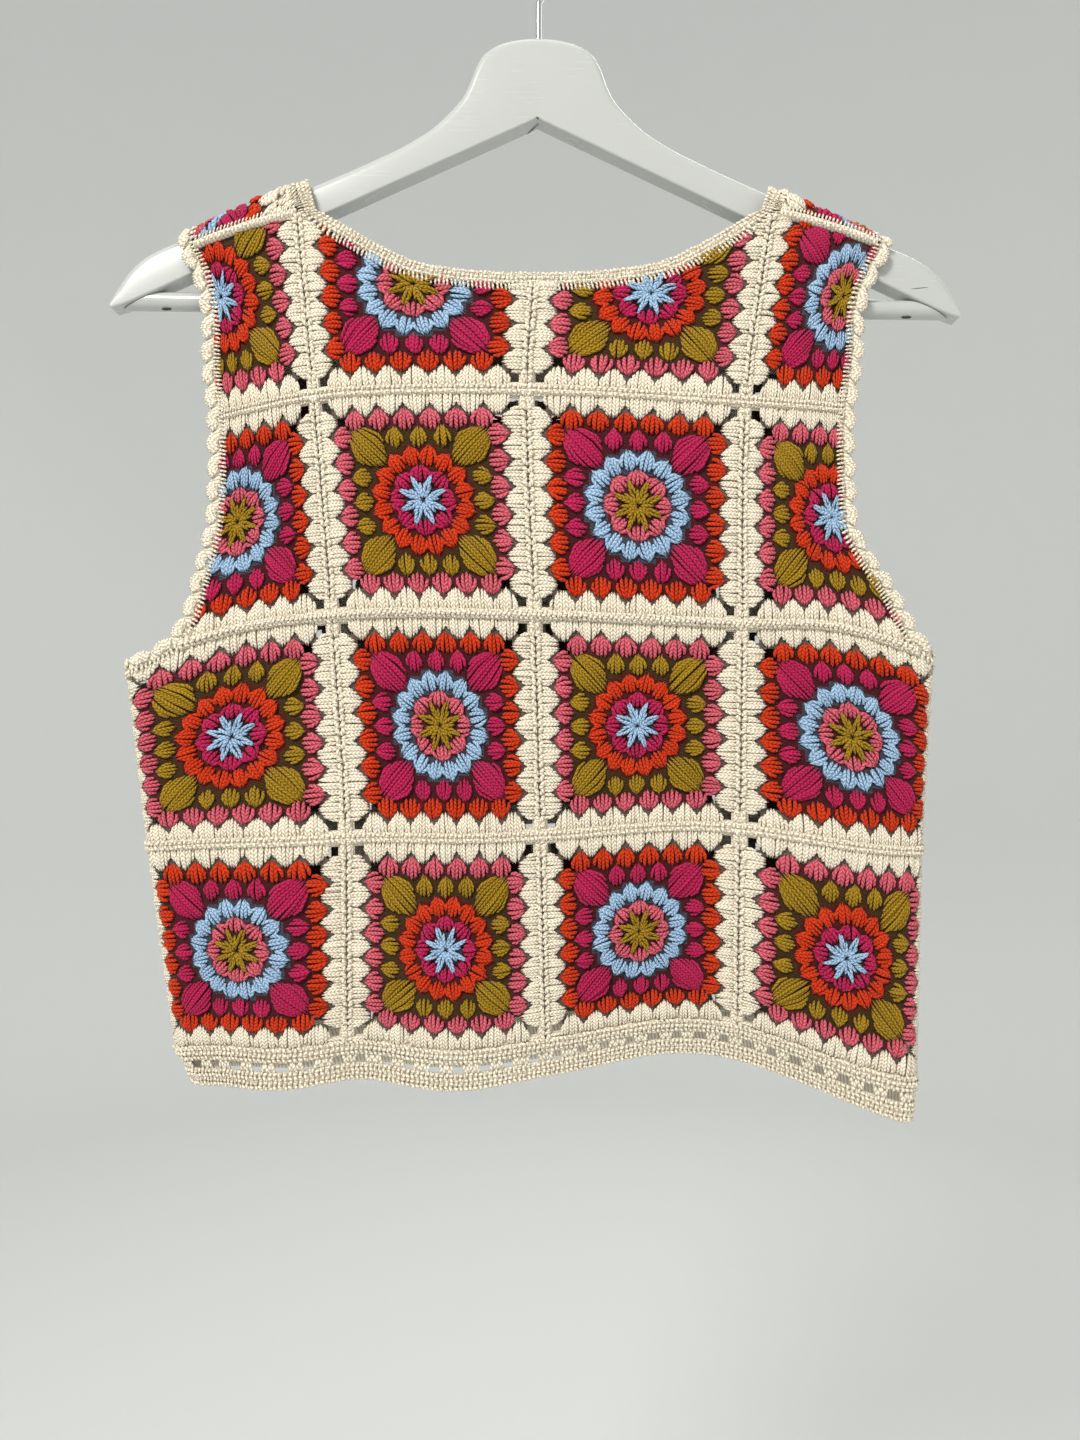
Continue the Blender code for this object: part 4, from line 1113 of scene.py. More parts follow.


# Each yarn's colour, then its shade: painted shade in the grooves between plies; the cream's shade
# is also pinker, its own tint
YARNS = {
    Yarn.CREAM: YarnFinish("cream yarn", (0.95, 0.895, 0.735), (0.55, 0.415, 0.33)),
    Yarn.BLUE: YarnFinish("light blue yarn", (0.42, 0.61, 0.83), (0.12, 0.20, 0.34)),
    Yarn.MAGENTA: YarnFinish("magenta yarn", (0.57, 0.014, 0.105), (0.17, 0.002, 0.020)),
    Yarn.ORANGE: YarnFinish("orange yarn", (0.71, 0.046, 0.003), (0.26, 0.006, 0.001)),
    Yarn.MUSTARD: YarnFinish("mustard yarn", (0.41, 0.245, 0.009), (0.12, 0.055, 0.002)),
    Yarn.PINK: YarnFinish("pink yarn", (0.75, 0.140, 0.195), (0.28, 0.022, 0.040)),
}
PAINT = HardFinish("white gloss paint", (0.50, 0.515, 0.505), (0.44, 0.445, 0.43), 0.22, 0.06,
                   coat=0.5)
# Dark lenses on the hanger: painted shade in its slots and cracks
SLOT_AND_CRACK_SHADE = HardFinish("dark bare wood", (0.045, 0.036, 0.030), (0.09, 0.07, 0.055), 0.7, 0.0)
WIRE = HardFinish("bright wire", (0.68, 0.68, 0.70), (0.50, 0.50, 0.52), 0.10, 0.03, metallic=1.0)


# ---------------------------------------------------------------- stitches


def cluster(inner: Array, outer: Array, width: float, count: int, strand: float, pinch: float,
            height: float, puff: float, yarn: Yarn, rounding: float = 0.25,
            bulge: float = 1.2) -> Strands:
    """Clusters of stitches, wide and rounded at the inner end and drawn in at the outer end.

    Strand s from -1 to 1 of a cluster starts at inner + across s w 0.36 + d rounding s^2, is
    pulled by the point 0.42 of the way out + across s w/2 bulge, and ends at
    outer + across s w/2 pinch - d 0.12 s^2; the middle strands stand highest.

    Args:
        inner: inner end of each cluster.
        outer: outer end of each cluster.
        width: of a cluster.
        count: strands in a cluster.
        strand: a strand's width.
        pinch: width left at the outer end, as a share.
        height: of the strands' ends over the wall's middle.
        puff: how far the middle of the cluster stands up.
        yarn: the clusters' yarn.
        rounding: how round the inner end is.
        bulge: how far the sides swell.
    Returns:
        the strands.
    """
    d = (outer - inner)[:, None]
    across = np.stack([-d[..., 1], d[..., 0]], -1)
    across = across / np.linalg.norm(across, axis=-1, keepdims=True)
    s = np.linspace(-1, 1, count)[None, :, None]
    start = inner[:, None] + across * s * width * 0.36 + d * rounding * s**2
    control = inner[:, None] + d * 0.42 + across * s * width / 2 * bulge
    end = outer[:, None] + across * s * width / 2 * pinch - d * 0.12 * s**2
    domed = np.broadcast_to(puff * (1 - 0.45 * s[..., 0] ** 2), start.shape[:2])
    return Strands.of(start.reshape(-1, 2), control.reshape(-1, 2), end.reshape(-1, 2), strand,
                      height, domed.reshape(-1), yarn)


def chain(first: Array, last: Array, pitch: float, half: float, strand: float, height: float,
          puff: float, yarn: Yarn) -> Strands:
    """A row of V stitches from first to last: two strands for each pitch, meeting on the line.

    Args:
        first: start of the line.
        last: end of the line.
        pitch: length of one stitch.
        half: half the row's width.
        strand: a strand's width.
        height: of the strands' ends.
        puff: how far their middles stand up.
        yarn: the row's yarn.
    Returns:
        the strands.
    """
    line = last - first
    length = float(np.linalg.norm(line))
    d = line / length
    across = np.array([-d[1], d[0]])
    at = np.arange(0, length - pitch / 2, pitch)[:, None] * d + first
    parts = []
    for sign in (-1, 1):
        start = at + across * sign * half
        end = at + d * pitch * 1.15 + across * sign * half * 0.12
        control = (start + end) / 2 + across * sign * half * 0.35
        parts.append(Strands.of(start, control, end, strand, height, puff, yarn))
    return Strands.joined(parts)


def slanted(first: float, last: float, *table: tuple) -> list[Strands]:
    """Rows of parallel cream strands across a line, each leaning along it.

    Args:
        first: start of the line.
        last: end of the line.
        table: for each row, in millimetres, the pitch from strand to strand, the offsets of a
            strand's start and end across the line, how far its end is moved along it, a strand's
            width, the height of its ends, and how far its middle stands up.
    Returns:
        the strands of each row.
    """
    rows = []
    for row in table:
        pitch, low, high, lean, width, height, puff = (value * MM for value in row)
        at = np.arange(pitch / 2, last - first, pitch) + first
        start = np.stack([at - lean / 2, np.full(len(at), low)], -1)
        end = np.stack([at + lean / 2, np.full(len(at), high)], -1)
        rows.append(Strands.straight(start, end, width, height, puff, Yarn.CREAM))
    return rows


@dataclass(frozen=True)
class Motif:
    """The stitches of one square, round by round, with its middle at 0 and v up."""

    size: float = 0.106
    colours: dict = field(default_factory=lambda: {
        "A": (Yarn.BLUE, Yarn.MAGENTA, Yarn.ORANGE, Yarn.MUSTARD, Yarn.PINK),
        "B": (Yarn.MUSTARD, Yarn.PINK, Yarn.BLUE, Yarn.MAGENTA, Yarn.ORANGE),
    })
    height: float = 0.0001

    def ring(self, count: int, turn: float, low: float, high: float) -> tuple[Array, Array]:
        """Inner and outer points of clusters on a circle.

        Args:
            count: how many.
            turn: of the first, in spacings.
            low: inner radius in millimetres.
            high: outer radius in millimetres.
        Returns:
            both sets of points.
        """
        angles = (np.arange(count) + turn) * 2 * math.pi / count
        spoke = np.stack([np.cos(angles), np.sin(angles)], -1) * MM
        return spoke * low, spoke * high

    def sides(self, places: tuple, low: float, high: float) -> tuple[Array, Array]:
        """Inner and outer points of clusters along the four sides, at places along each.

        Args:
            places: along a side, in millimetres.
            low: inner distance from the middle.
            high: outer distance.
        Returns:
            both sets of points.
        """
        inner, outer = [], []
        for quarter in range(4):
            c, s = round(math.cos(quarter * math.pi / 2)), round(math.sin(quarter * math.pi / 2))
            for place in places:
                for r, into in ((low, inner), (high, outer)):
                    into.append((r * c - place * s, r * s + place * c))
        return np.array(inner) * MM, np.array(outer) * MM

    def spikes(self) -> tuple[Array, Array]:
        """Inner and outer points of the star's eight points, two strands to each.

        Returns:
            both sets of points.
        """
        angles = (np.repeat(np.arange(8), 2) + 0.5) * math.pi / 4
        apart = np.tile([-1, 1], 8)
        spoke = np.stack([np.cos(angles), np.sin(angles)], -1)
        across = np.stack([-spoke[:, 1], spoke[:, 0]], -1) * apart[:, None]
        return (spoke * 4.6 + across * 1.0) * MM, (spoke * 12.6 + across * 0.3) * MM

    def corners(self) -> tuple[Array, Array]:
        """Inner and outer points of the large fans in the four corners."""
        signs = np.array([(1, 1), (-1, 1), (-1, -1), (1, -1)])
        return signs * 16.4 * MM, signs * 34.6 * MM

    def web_lines(self) -> Array:
        """Places of a grid whose lines run along the edges of the square's gaps.

        Returns:
            places across the square.
        """
        edge = np.array([34.9, 37.9, 40.9, 43.6, 46.3, 49.0, 51.0, 53.0])
        inner = np.linspace(-34.9, 34.9, 25)[1:-1]
        return np.concatenate([-edge[::-1], inner, edge]) * MM

    def web_yarn(self, kind: str, u: Array, v: Array) -> Array:
        """The yarn's number under each place: round by round, square beyond the third.

        Args:
            kind: A or B.
            u: across.
            v: up.
        Returns:
            the numbers.
        """
        star, second, third, fourth, fifth = (yarn.value for yarn in self.colours[kind])
        round_r, square_r = np.hypot(u, v) / MM, np.maximum(abs(u), abs(v)) / MM
        found = np.where(round_r < 8, star, np.where(round_r < 16, second, third))
        found = np.where(round_r > 26, fourth, found)
        found = np.where(square_r > 36, fifth, found)
        return np.where(square_r > 42, Yarn.CREAM.value, found)

    def in_gap(self, u: Array, v: Array) -> Array:
        """True in the gaps: beside each corner fan, and beside each crossing of the seams.

        Args:
            u: across.
            v: up.
        Returns:
            one truth for each place.
        """
        u, v = abs(u) / MM, abs(v) / MM
        return ((abs(u - 37.9) < 3) & (abs(v - 37.9) < 3)) | (
            (abs(u - 46.3) < 2.7) & (abs(v - 46.3) < 2.7))

    def strands(self, kind: str, seam_right: bool) -> Strands:
        """All the strands of a square.

        Args:
            kind: A or B, the order of its colours.
            seam_right: whether the chain along its right edge is part of it.
        Returns:
            the strands, in the square's own plane.
        """
        star, second, third, fourth, fifth = self.colours[kind]
        h = self.height
        hub = self.ring(16, 0.25, 0.7, 8.4)
        parts = [
            cluster(*self.ring(8, 0.0, 8.6, 17.2), 10.2 * MM, 5, 2.1 * MM, 0.34, h, 0.9 * MM,
                    second),
            Strands.straight(*hub, 1.9 * MM, h + 0.0005, 0.5 * MM, star),
            Strands.straight(*self.spikes(), 1.6 * MM, h + 0.0010, 0.4 * MM, star),
            cluster(*self.ring(16, 0.5, 15.8, 26.8), 8.8 * MM, 5, 2.0 * MM, 0.30, h, 1.0 * MM,
                    third),
            cluster(*self.sides((-11.6, 0.0, 11.6), 24.6, 36.2), 8.4 * MM, 5, 1.9 * MM, 0.22, h,
                    1.1 * MM, fourth),
            cluster(*self.corners(), 18.0 * MM, 10, 1.85 * MM, 0.46, h, 1.5 * MM, fourth,
                    rounding=0.34, bulge=1.16),
            cluster(*self.sides((-31.4, -18.9, -6.3, 6.3, 18.9, 31.4), 33.2, 44.6), 10.4 * MM, 5,
                    2.1 * MM, 0.24, h, 1.2 * MM, fifth),
            cluster(*self.sides((-38.4, -25.6, -12.8, 0.0, 12.8, 25.6, 38.4), 40.2, 54.0),
                    11.4 * MM, 8, 1.95 * MM, 0.94, h - 0.0001, 1.2 * MM, Yarn.CREAM,
                    rounding=0.36, bulge=1.08),
        ]
        for sign_x, sign_y, inset, flip in product((-1, 1), (-1, 1), (50.6, 52.3), (1, -1)):
            ends = np.array([(inset, 42.5), (inset, 53.0)])[:, ::flip] * (sign_x, sign_y) * MM
            parts.append(Strands.straight(ends[:1], ends[1:], 2.1 * MM, h, 0.4 * MM, Yarn.CREAM))
        if seam_right:
            parts.append(chain(np.array([53.0, 53.0]) * MM, np.array([53.0, -53.0]) * MM,
                               3.3 * MM, 2.1 * MM, 2.5 * MM, h + 0.0010, 0.4 * MM, Yarn.CREAM))
        return Strands.joined(parts)


# ---------------------------------------------------------------- the vest


def on_side(side: Side, spot: Array) -> tuple[Array, Array, Array]:
    """Side, x and h of flat points of one panel."""
    return np.full(spot.shape[:-1], side.value), spot[..., 0], spot[..., 1]


@dataclass
class Vest:
    """The crocheted vest: squares, joins, edgings, seams and hem."""

    cut: Cut
    motif: Motif
    materials: list[bpy.types.Material]
    row_pitch: float = 0.106
    hem_height: float = 0.0205
    hem_eyelets: int = 30
    eyelets_from: float = 0.2
    eyelets_to: float = 3.8
    shell: float = 0.0122
    stitches_under: float = 0.0042
    ground_under: float = 0.0058
    front_spread: float = 0.0115
    spread_at: float = 0.12
    strip_depth: float = 0.0009
    join_under: float = 0.003
    ground_top: float = -0.0004
    ground_foot: float = -0.0010
    jitter: float = 0.0003
    base_pitch: float = 0.003
    hem_inset: float = 0.0003
    post_pitch: float = 0.00175
    eyelet_half: float = 0.00285
    post_sway: float = 0.0009
    seed: int = 7
    sheets: dict = field(default_factory=dict)

    @property
    def panels(self) -> Panels:
        """The panels that the vest is laid out on."""
        return self.cut.panels

    def strip(self, place: Place, line: Array, across: Array, rise: Array,
              closed: bool = False) -> MeshArrays:
        """A strip under a trim's stitches, its outer face raised and its inner face level.

        Args:
            place: gives side, x and h of points along and across the trim.
            line: places along it.
            across: places across it.
            rise: height of the outer face at each place across.
            closed: whether the strip runs round into itself.
        Returns:
            arrays for one mesh.
        """
        grid = np.stack(np.meshgrid(line, across, indexing="ij"), -1)
        side, x, h = place(grid)
        outer = self.panels.hang(side, x, h, rise + np.zeros(x.shape))
        inner = self.panels.hang(side, x, h, np.full(x.shape, -self.strip_depth))
        return grid_arrays(outer, inner, closed, Yarn.CREAM, line[1] - line[0])

    def trim(self, node: str, part: str, strips: list[MeshArrays], rows: list[Strands],
             place: Place, jitter: float, seed: int, tone_seed: int) -> bpy.types.Object:
        """Makes one cream piece of a trim's strips and rows of strands.

        Args:
            node: what it stands for, and the start of its name.
            part: the end of its name.
            strips: the strips under its stitches.
            rows: its strands.
            place: gives side, x and h of the strands' points.
            jitter: how far the strands are moved.
            seed: of the moves.
            tone_seed: of the strands' tones.
        Returns:
            the piece.
        """
        strands = Strands.joined(rows).jittered(jitter, seed)
        arrays = [*strips, strands.mesh_arrays(self.panels, place, tone_seed)]
        return dress(f"{node}_{part}", MeshArrays.joined(arrays), self.materials, "cream yarn",
                     node)

    def kind(self, side: Side, row: int, column: int) -> str:
        """A or B for the square: its star is blue or mustard."""
        place = row + column if side is Side.BACK else row + 1 + min(column, 3 - column)
        return "A" if place % 2 == 0 else "B"

    def square(self, side: Side, row: int, column: int, outline: Array) -> None:
        """Args:
            side: the panel.
            row: from the shoulder.
            column: from the left.
            outline: where the stitches end.
        """
        word = side.name.lower()
        kind = self.kind(side, row, column)

        def flat(points: Array) -> Array:
            """Flat (x, h) of the square's own points.

            The bottom row is spread evenly down, and the front's top row outwards to the shoulder.

            Args:
                points: in the square's own plane.
            Returns:
                the flat points.
            """
            across = column + 0.5 + points[..., 0] / self.motif.size
            down = row + 0.5 - points[..., 1] / self.motif.size
            if row < 3:
                spot = self.panels.lay_out(side, across, down)
                if side is Side.FRONT and row == 0:
                    share = np.clip(spot[..., 0] / self.spread_at, -1.2, 1.2) * (1 - down)
                    spot[..., 0] += self.front_spread * share
                return spot
            top, foot = (self.panels.lay_out(side, across, row + i) for i in (0, 1))
            spot = top + (foot - top) * (down - row)[..., None]
            spot[..., 1] -= self.panels.bottom_row_sag * np.sin(math.pi * (down - row))
            return spot

        def place(points: Array) -> tuple[Array, Array, Array]:
            """Side, x and h of the square's own points."""
            return on_side(side, flat(points))

        seed = self.seed + 100 * row + 10 * column + (side is Side.FRONT)
        strands = self.motif.strands(kind, column < 3).jittered(self.jitter, seed)
        strands = strands.clipped(flat, outline)
        name = f"{word}_square_r{row + 1}_c{column + 1}"
        slot = f"{'pink' if kind == 'A' else 'orange'} yarn"
        ground_edge = self.cut.outline(side, self.ground_under)
        ground = dress(f"{name}_ground", self.web(kind, flat, place, ground_edge),
                       self.materials, slot, name)
        stitches = dress(f"{name}_stitches", strands.mesh_arrays(self.panels, place, seed),
                         self.materials, slot, name)
        self.sheets[name] = (ground, stitches, *self.flat_size(flat, ground_edge))

    def web(self, kind: str, flat: Callable[[Array], Array], place: Place,
            outline: Array) -> MeshArrays:
        """The thin ground between a square's stitches, open at its gaps. Under the inner rounds it
        is painted near black, as painted shade between the stitches; the cream edge keeps its
        colour.

        Args:
            kind: A or B.
            flat: gives flat (x, h) of the square's own points.
            place: gives side, x and h of them.
            outline: where the ground ends.
        Returns:
            arrays of a closed wall.
        """
        lines = self.motif.web_lines()
        grid = np.stack(np.meshgrid(lines, lines, indexing="ij"), -1)
        inside = is_inside(flat(grid).reshape(-1, 2), outline).reshape(grid.shape[:2])
        keep = inside[:-1, :-1] & inside[1:, :-1] & inside[:-1, 1:] & inside[1:, 1:]
        u, v = np.moveaxis((grid[:-1, :-1] + grid[1:, 1:]) / 2, -1, 0)
        side, x, h = place(grid)
        outer = self.panels.hang(side, x, h, np.full(x.shape, self.ground_top))
        inner = self.panels.hang(side, x, h, np.full(x.shape, self.ground_foot))
        # -2 under the inner rounds marks painted shade, mixed near black; 0.2 on the cream edge
        # beyond 48 mm
        tone = np.where(np.abs(grid).max(-1) > 48 * MM, 0.2, -2.0)
        return cell_arrays(outer, inner, keep & ~self.motif.in_gap(u, v),
                           self.motif.web_yarn(kind, u, v), tone)

    def flat_size(self, flat: Callable[[Array], Array], outline: Array) -> tuple[float, ...]:
        """Size of the smallest rectangle round the cut part of a square, and the cut's area.

        The area is the sum of the cells of a fine grid, each the cross product of its sides, less
        slivers under 16 mm wide. The rectangle is the smallest of those at every second degree.

        Args:
            flat: gives flat (x, h) of the square's own points.
            outline: where the stitches end.
        Returns:
            width, length and area in metres.
        """
        side = np.linspace(-0.5, 0.5, 61) * self.motif.size
        points = flat(np.stack(np.meshgrid(side, side), -1))
        a = points[1:, :-1] - points[:-1, :-1]
        b = points[:-1, 1:] - points[:-1, :-1]
        cells = np.abs(a[..., 0] * b[..., 1] - a[..., 1] * b[..., 0])
        inside = is_inside(points[:-1, :-1].reshape(-1, 2), outline).reshape(cells.shape)
        inside &= inside.sum(1, keepdims=True) > 8
        kept = np.concatenate([points[:-1, :-1][inside], points[1:, :-1][inside],
                               points[:-1, 1:][inside], points[1:, 1:][inside]])
        turn = np.radians(np.arange(0, 90, 2))[:, None]
        across = kept[:, 0] * np.cos(turn) + kept[:, 1] * np.sin(turn)
        down = kept[:, 1] * np.cos(turn) - kept[:, 0] * np.sin(turn)
        widths, lengths = np.ptp(across, axis=1), np.ptp(down, axis=1)
        best = (widths * lengths).argmin()
        return float(widths[best]), float(lengths[best]), float((cells * inside).sum())

    def row_join(self, side: Side, row: int) -> bpy.types.Object:
        """A raised join between two rows: V stitches over a rounded strip, heavier in the middle.

        Args:
            side: the panel.
            row: the row below the join.
        Returns:
            the piece.
        """
        heavy = row == 2

        def flat(points: Array) -> Array:
            """Flat (x, h) of points given along and across the join.

            Args:
                points: along and across.
            Returns:
                the flat points.
            """
            spot = self.panels.lay_out(side, points[..., 0] / self.row_pitch, float(row))
            spot[..., 1] += points[..., 1]
            return spot

        def place(points: Array) -> tuple[Array, Array, Array]:
            """Side, x and h of points given along and across the join."""
            return on_side(side, flat(points))

        line = np.linspace(0, 4, 801) * self.row_pitch
        outline = self.cut.outline(side, self.join_under)
        inside = is_inside(flat(np.stack([line, line * 0], -1)), outline)
        line = np.linspace(line[inside][0], line[inside][-1], 130)
        rise = 1.6 if heavy else 1.1
        base = self.strip(place, line, np.array([-2.6, -1.6, 0.0, 1.6, 2.6]) * MM,
                          (0.6 + np.array([0.1, 0.9, 1.0, 0.9, 0.1]) * rise) * MM)
        rows = slanted(line[0], line[-1], (2.5, 0.1, 2.5, 2.6, 2.0, rise + 0.6, 0.5),
                       (2.5, -2.5, -0.1, -2.6, 2.0, rise + 0.6, 0.5),
                       *(((2.6, -1.3, 1.3, 2.8, 2.1, rise + 1.4, 0.5),) if heavy else ()))
        return self.trim(f"{side.name.lower()}_join_{row}", "ridge", [base], rows, place, 0.0001,
                         self.seed + row, row)

    def band_place(self, back: tuple[Array, Array],
                   front: tuple[Array, Array]) -> tuple[Place, float]:
        """The flat place of points given along and across a closed edging.

        Args:
            back: flat points and normals of the part on the back.
            front: those of the part on the front, which is followed backwards.
        Returns:
            the function, and the edging's length.
        """
        parts = [(Side.BACK, *back), (Side.FRONT, *(table[::-1] for table in front))]
        lengths = [along(points) for _, points, _ in parts]
        total = sum(length[-1] for length in lengths)

        def place(points: Array) -> tuple[Array, Array, Array]:
            """Side, x and h of points given along and across the edging.

            Args:
                points: along and across.
            Returns:
                side, x and h of each.
            """
            s = np.mod(points[..., 0], total)
            spot = np.zeros(points.shape)
            side = np.zeros(s.shape)
            start = 0.0
            for (which, line, normals), length in zip(parts, lengths, strict=True):
                here = (s >= start) & (s <= start + length[-1])
                at = s[here] - start
                edge, normal = (np.stack([np.interp(at, length, table[:, i]) for i in (0, 1)], -1)
                                for table in (line, normals))
                spot[here] = edge + normal * points[here][:, 1:]
                side[here] = which.value
                start += length[-1]
            return side, spot[..., 0], spot[..., 1]

        return place, float(total)

    def edging_base(self, place: Place, total: float, across: tuple, rise: tuple) -> MeshArrays:
        """The closed strip under an edging's stitches, its sizes across in millimetres.

        Args:
            place: gives side, x and h.
            total: the edging's length.
            across: places across it.
            rise: height at each place.
        Returns:
            arrays for one mesh.
        """
        count = round(total / self.base_pitch)
        return self.strip(place, np.arange(count) * total / count, np.array(across) * MM,
                          np.array(rise) * MM, closed=True)

    def neck_edging(self) -> bpy.types.Object:
        """Rows of V stitches round the neck, the last a row of legs that reach over the squares.

        Returns:
            the piece.
        """
        place, total = self.band_place(self.cut.neck_line(Side.BACK),
                                       self.cut.neck_line(Side.FRONT))
        rows = slanted(0.0, total, (2.3, 0.0, 2.4, 1.6, 1.9, 0.8, 0.4),
                       (2.3, 2.0, 4.4, -1.6, 1.9, 0.7, 0.4), (2.3, 4.2, 6.4, 1.4, 1.9, 0.7, 0.4),
                       (2.1, 5.8, 10.2, 0.9, 1.25, 1.3, 0.3))
        base = self.edging_base(place, total, (0.2, 1.6, 3.2, 4.8, 6.2), (0.3, 0.8, 0.6, 0.8, 0.3))
        return self.trim("neck_edging", "stitches", [base], rows, place, 0.00015, self.seed,
                         self.seed)

    def armhole_edging(self, word: str, column: int) -> bpy.types.Object:
        """Shells round an armhole, with a row of legs that reach over the squares.

        A shell's strands fan out by an angle a from a point 6.6 mm inside the edge: from
        (1.6 sin a, -0.5 cos a) to (6.4 sin a, -7.4 cos^0.6 a) millimetres off it.

        Args:
            word: left or right.
            column: 0 or -1.
        Returns:
            the piece.
        """
        place, total = self.band_place(self.cut.armhole_line(Side.BACK, column),
                                       self.cut.armhole_line(Side.FRONT, column))
        shells = round(total / self.shell)
        angle = np.tile(np.radians(np.linspace(-60, 60, 9)), shells)
        root = np.stack([1.6 * np.sin(angle), -0.5 * np.cos(angle)], -1) * MM
        rim = np.stack([6.4 * np.sin(angle), -7.4 * np.cos(angle) ** 0.6], -1) * MM
        centre = np.stack([np.repeat((np.arange(shells) + 0.5) * total / shells, 9),
                           np.full(9 * shells, 6.6 * MM)], -1)
        rows = [Strands.straight(centre + root, centre + rim, 1.9 * MM, 0.9 * MM, 0.9 * MM,
                                 Yarn.CREAM),
                *slanted(0.0, total, (2.1, 6.0, 10.4, 0.7, 1.3, 1.5, 0.3))]
        base = self.edging_base(place, total, (2.2, 3.4, 5.4, 7.2), (0.2, 0.8, 1.0, 0.6))
        return self.trim(f"armhole_edging_{word}", "stitches", [base], rows, place, 0.00015,
                         self.seed + 1, self.seed)

    def shoulder_seam(self, word: str, column: int) -> bpy.types.Object:
        """A smooth roll along the shoulder with a row of fine legs above it.

        Args:
            word: left or right.
            column: 0 or -1.
        Returns:
            the piece.
        """
        neck, neck_n = self.cut.neck_line(Side.BACK)
        arm, arm_n = self.cut.armhole_line(Side.BACK, column)
        inner_x = (neck + neck_n * self.cut.neck_width)[-1 if column else 0, 0]
        outer_x = (arm + arm_n * self.cut.armhole_width)[0, 0]
        low, high = sorted((inner_x, outer_x))

        def place(points: Array) -> tuple[Array, Array, Array]:
            """Side, x and h of points given along and above the seam."""
            h = self.cut.shoulder_h(points[..., 0]) + points[..., 1]
            return np.full(h.shape, Side.BACK.value), points[..., 0], h

        around = np.linspace(0, math.pi, 7)
        base = self.strip(place, np.linspace(low, high, 40), -2.3 * MM * np.cos(around),
                          0.3 * MM + 2.4 * MM * np.sin(around))
        rows = slanted(low, high, (1.9, 1.2, 4.6, 0.8, 1.1, 1.4, 0.5),
                       (2.2, -2.0, 2.0, 3.2, 1.9, 1.5, 0.9))
        return self.trim(f"shoulder_seam_{word}", "roll", [base], rows, place, 0.0001, self.seed,
                         self.seed)

    def side_seam(self, word: str, column: int) -> bpy.types.Object:
        """V stitches down the side, half of each on the back and half on the front.

        Args:
            word: left or right.
            column: 0 or -1.
        Returns:
            the piece.
        """
        arm, arm_n = self.cut.armhole_line(Side.BACK, column)
        top = arm[-1, 1] + arm_n[-1, 1] * self.cut.armhole_width
        foot = self.panels.lay_out(Side.BACK, 4.0 if column else 0.0, 4.0)[1]
        inwards = -1 if column else 1

        def place(points: Array) -> tuple[Array, Array, Array]:
            """Side, x and h of points given across and up the seam.

            Args:
                points: across and up.
            Returns:
                side, x and h of each.
            """
            h = points[..., 1]
            x = self.panels.edge_x(h, column) + inwards * np.abs(points[..., 0])
            return np.where(points[..., 0] > 0, 1.0, -1.0), x, h

        across = np.array([-3.0, -1.5, -0.01, 0.01, 1.5, 3.0]) * MM
        base = self.strip(lambda points: place(points[..., ::-1]), np.linspace(foot, top, 50),
                          across, np.full(len(across), 0.0007))
        rows = [chain(np.array([0.0, top]), np.array([0.0, foot]), 3.6 * MM, 2.6 * MM,
                      2.1 * MM, 0.9 * MM, 0.4 * MM, Yarn.CREAM)]
        return self.trim(f"side_seam_{word}", "chain", [base], rows, place, 0.0, self.seed,
                         self.seed)

    def hem(self, side: Side) -> bpy.types.Object:
        """One half of the hem: a ridge, a row of posts with eyelets between, and three ribs.

        Args:
            side: the panel.
        Returns:
            the piece.
        """
        def place(points: Array) -> tuple[Array, Array, Array]:
            """Side, x and h of points given along the hem and down from its top.

            Args:
                points: along and down.
            Returns:
                side, x and h of each.
            """
            across = points[..., 0] / self.row_pitch
            top, foot = (self.panels.lay_out(side, across, self.panels.hem_row + i) for i in (0, 1))
            spot = top + (foot - top) * (points[..., 1:] / self.hem_height)
            x = np.clip(spot[..., 0], self.panels.edge_x(spot[..., 1], 0) + self.hem_inset,
                        self.panels.edge_x(spot[..., 1], -1) - self.hem_inset)
            return np.full(x.shape, side.value), x, spot[..., 1]

        end = 4 * self.row_pitch
        line = np.linspace(0.0, end, 150)
        strips = [self.strip(place, line, np.linspace(low, high, 6) * MM,
                             np.array([0.2, 0.8, 1.0, 1.0, 0.8, 0.2]) * rise * MM)
                  for low, high, rise in ((-0.8, 6.7, 0.9), (11.5, 20.3, 0.6))]
        # Offsets down from the hem's top, the lean of the strands, and how high they stand
        rows = slanted(0.0, end, *((2.55, low, high, lean, 2.1, height, 0.4)
                                   for low, high, lean, height in (
            (-0.9, 1.7, 2.4, 1.2), (1.7, 4.3, -2.4, 1.5), (4.3, 6.8, 2.2, 0.9),
            (11.3, 13.8, -2.2, 0.8), (13.6, 16.0, 2.2, 1.1), (15.8, 18.2, -2.2, 0.9),
            (18.1, 20.6, 2.4, 1.1))))
        eyelets = np.linspace(self.eyelets_from, self.eyelets_to, self.hem_eyelets)
        if side is Side.FRONT:
            eyelets += 0.5 * (eyelets[1] - eyelets[0])
        posts = np.arange(1.0 * MM, end, self.post_pitch)
        near = np.abs(posts[:, None] - eyelets * self.row_pitch).min(1)
        posts = posts[near > self.eyelet_half]
        sway = self.post_sway * np.where(np.arange(len(posts)) % 2, 1, -1)
        rows.append(Strands.straight(np.stack([posts - sway, np.full(len(posts), 6.0 * MM)], -1),
                                     np.stack([posts + sway, np.full(len(posts), 12.2 * MM)], -1),
                                     2.0 * MM, 0.2 * MM, 0.5 * MM, Yarn.CREAM))
        return self.trim(f"hem_{side.name.lower()}", "stitches", strips, rows, place, 0.00013,
                         self.seed + 3, self.seed)

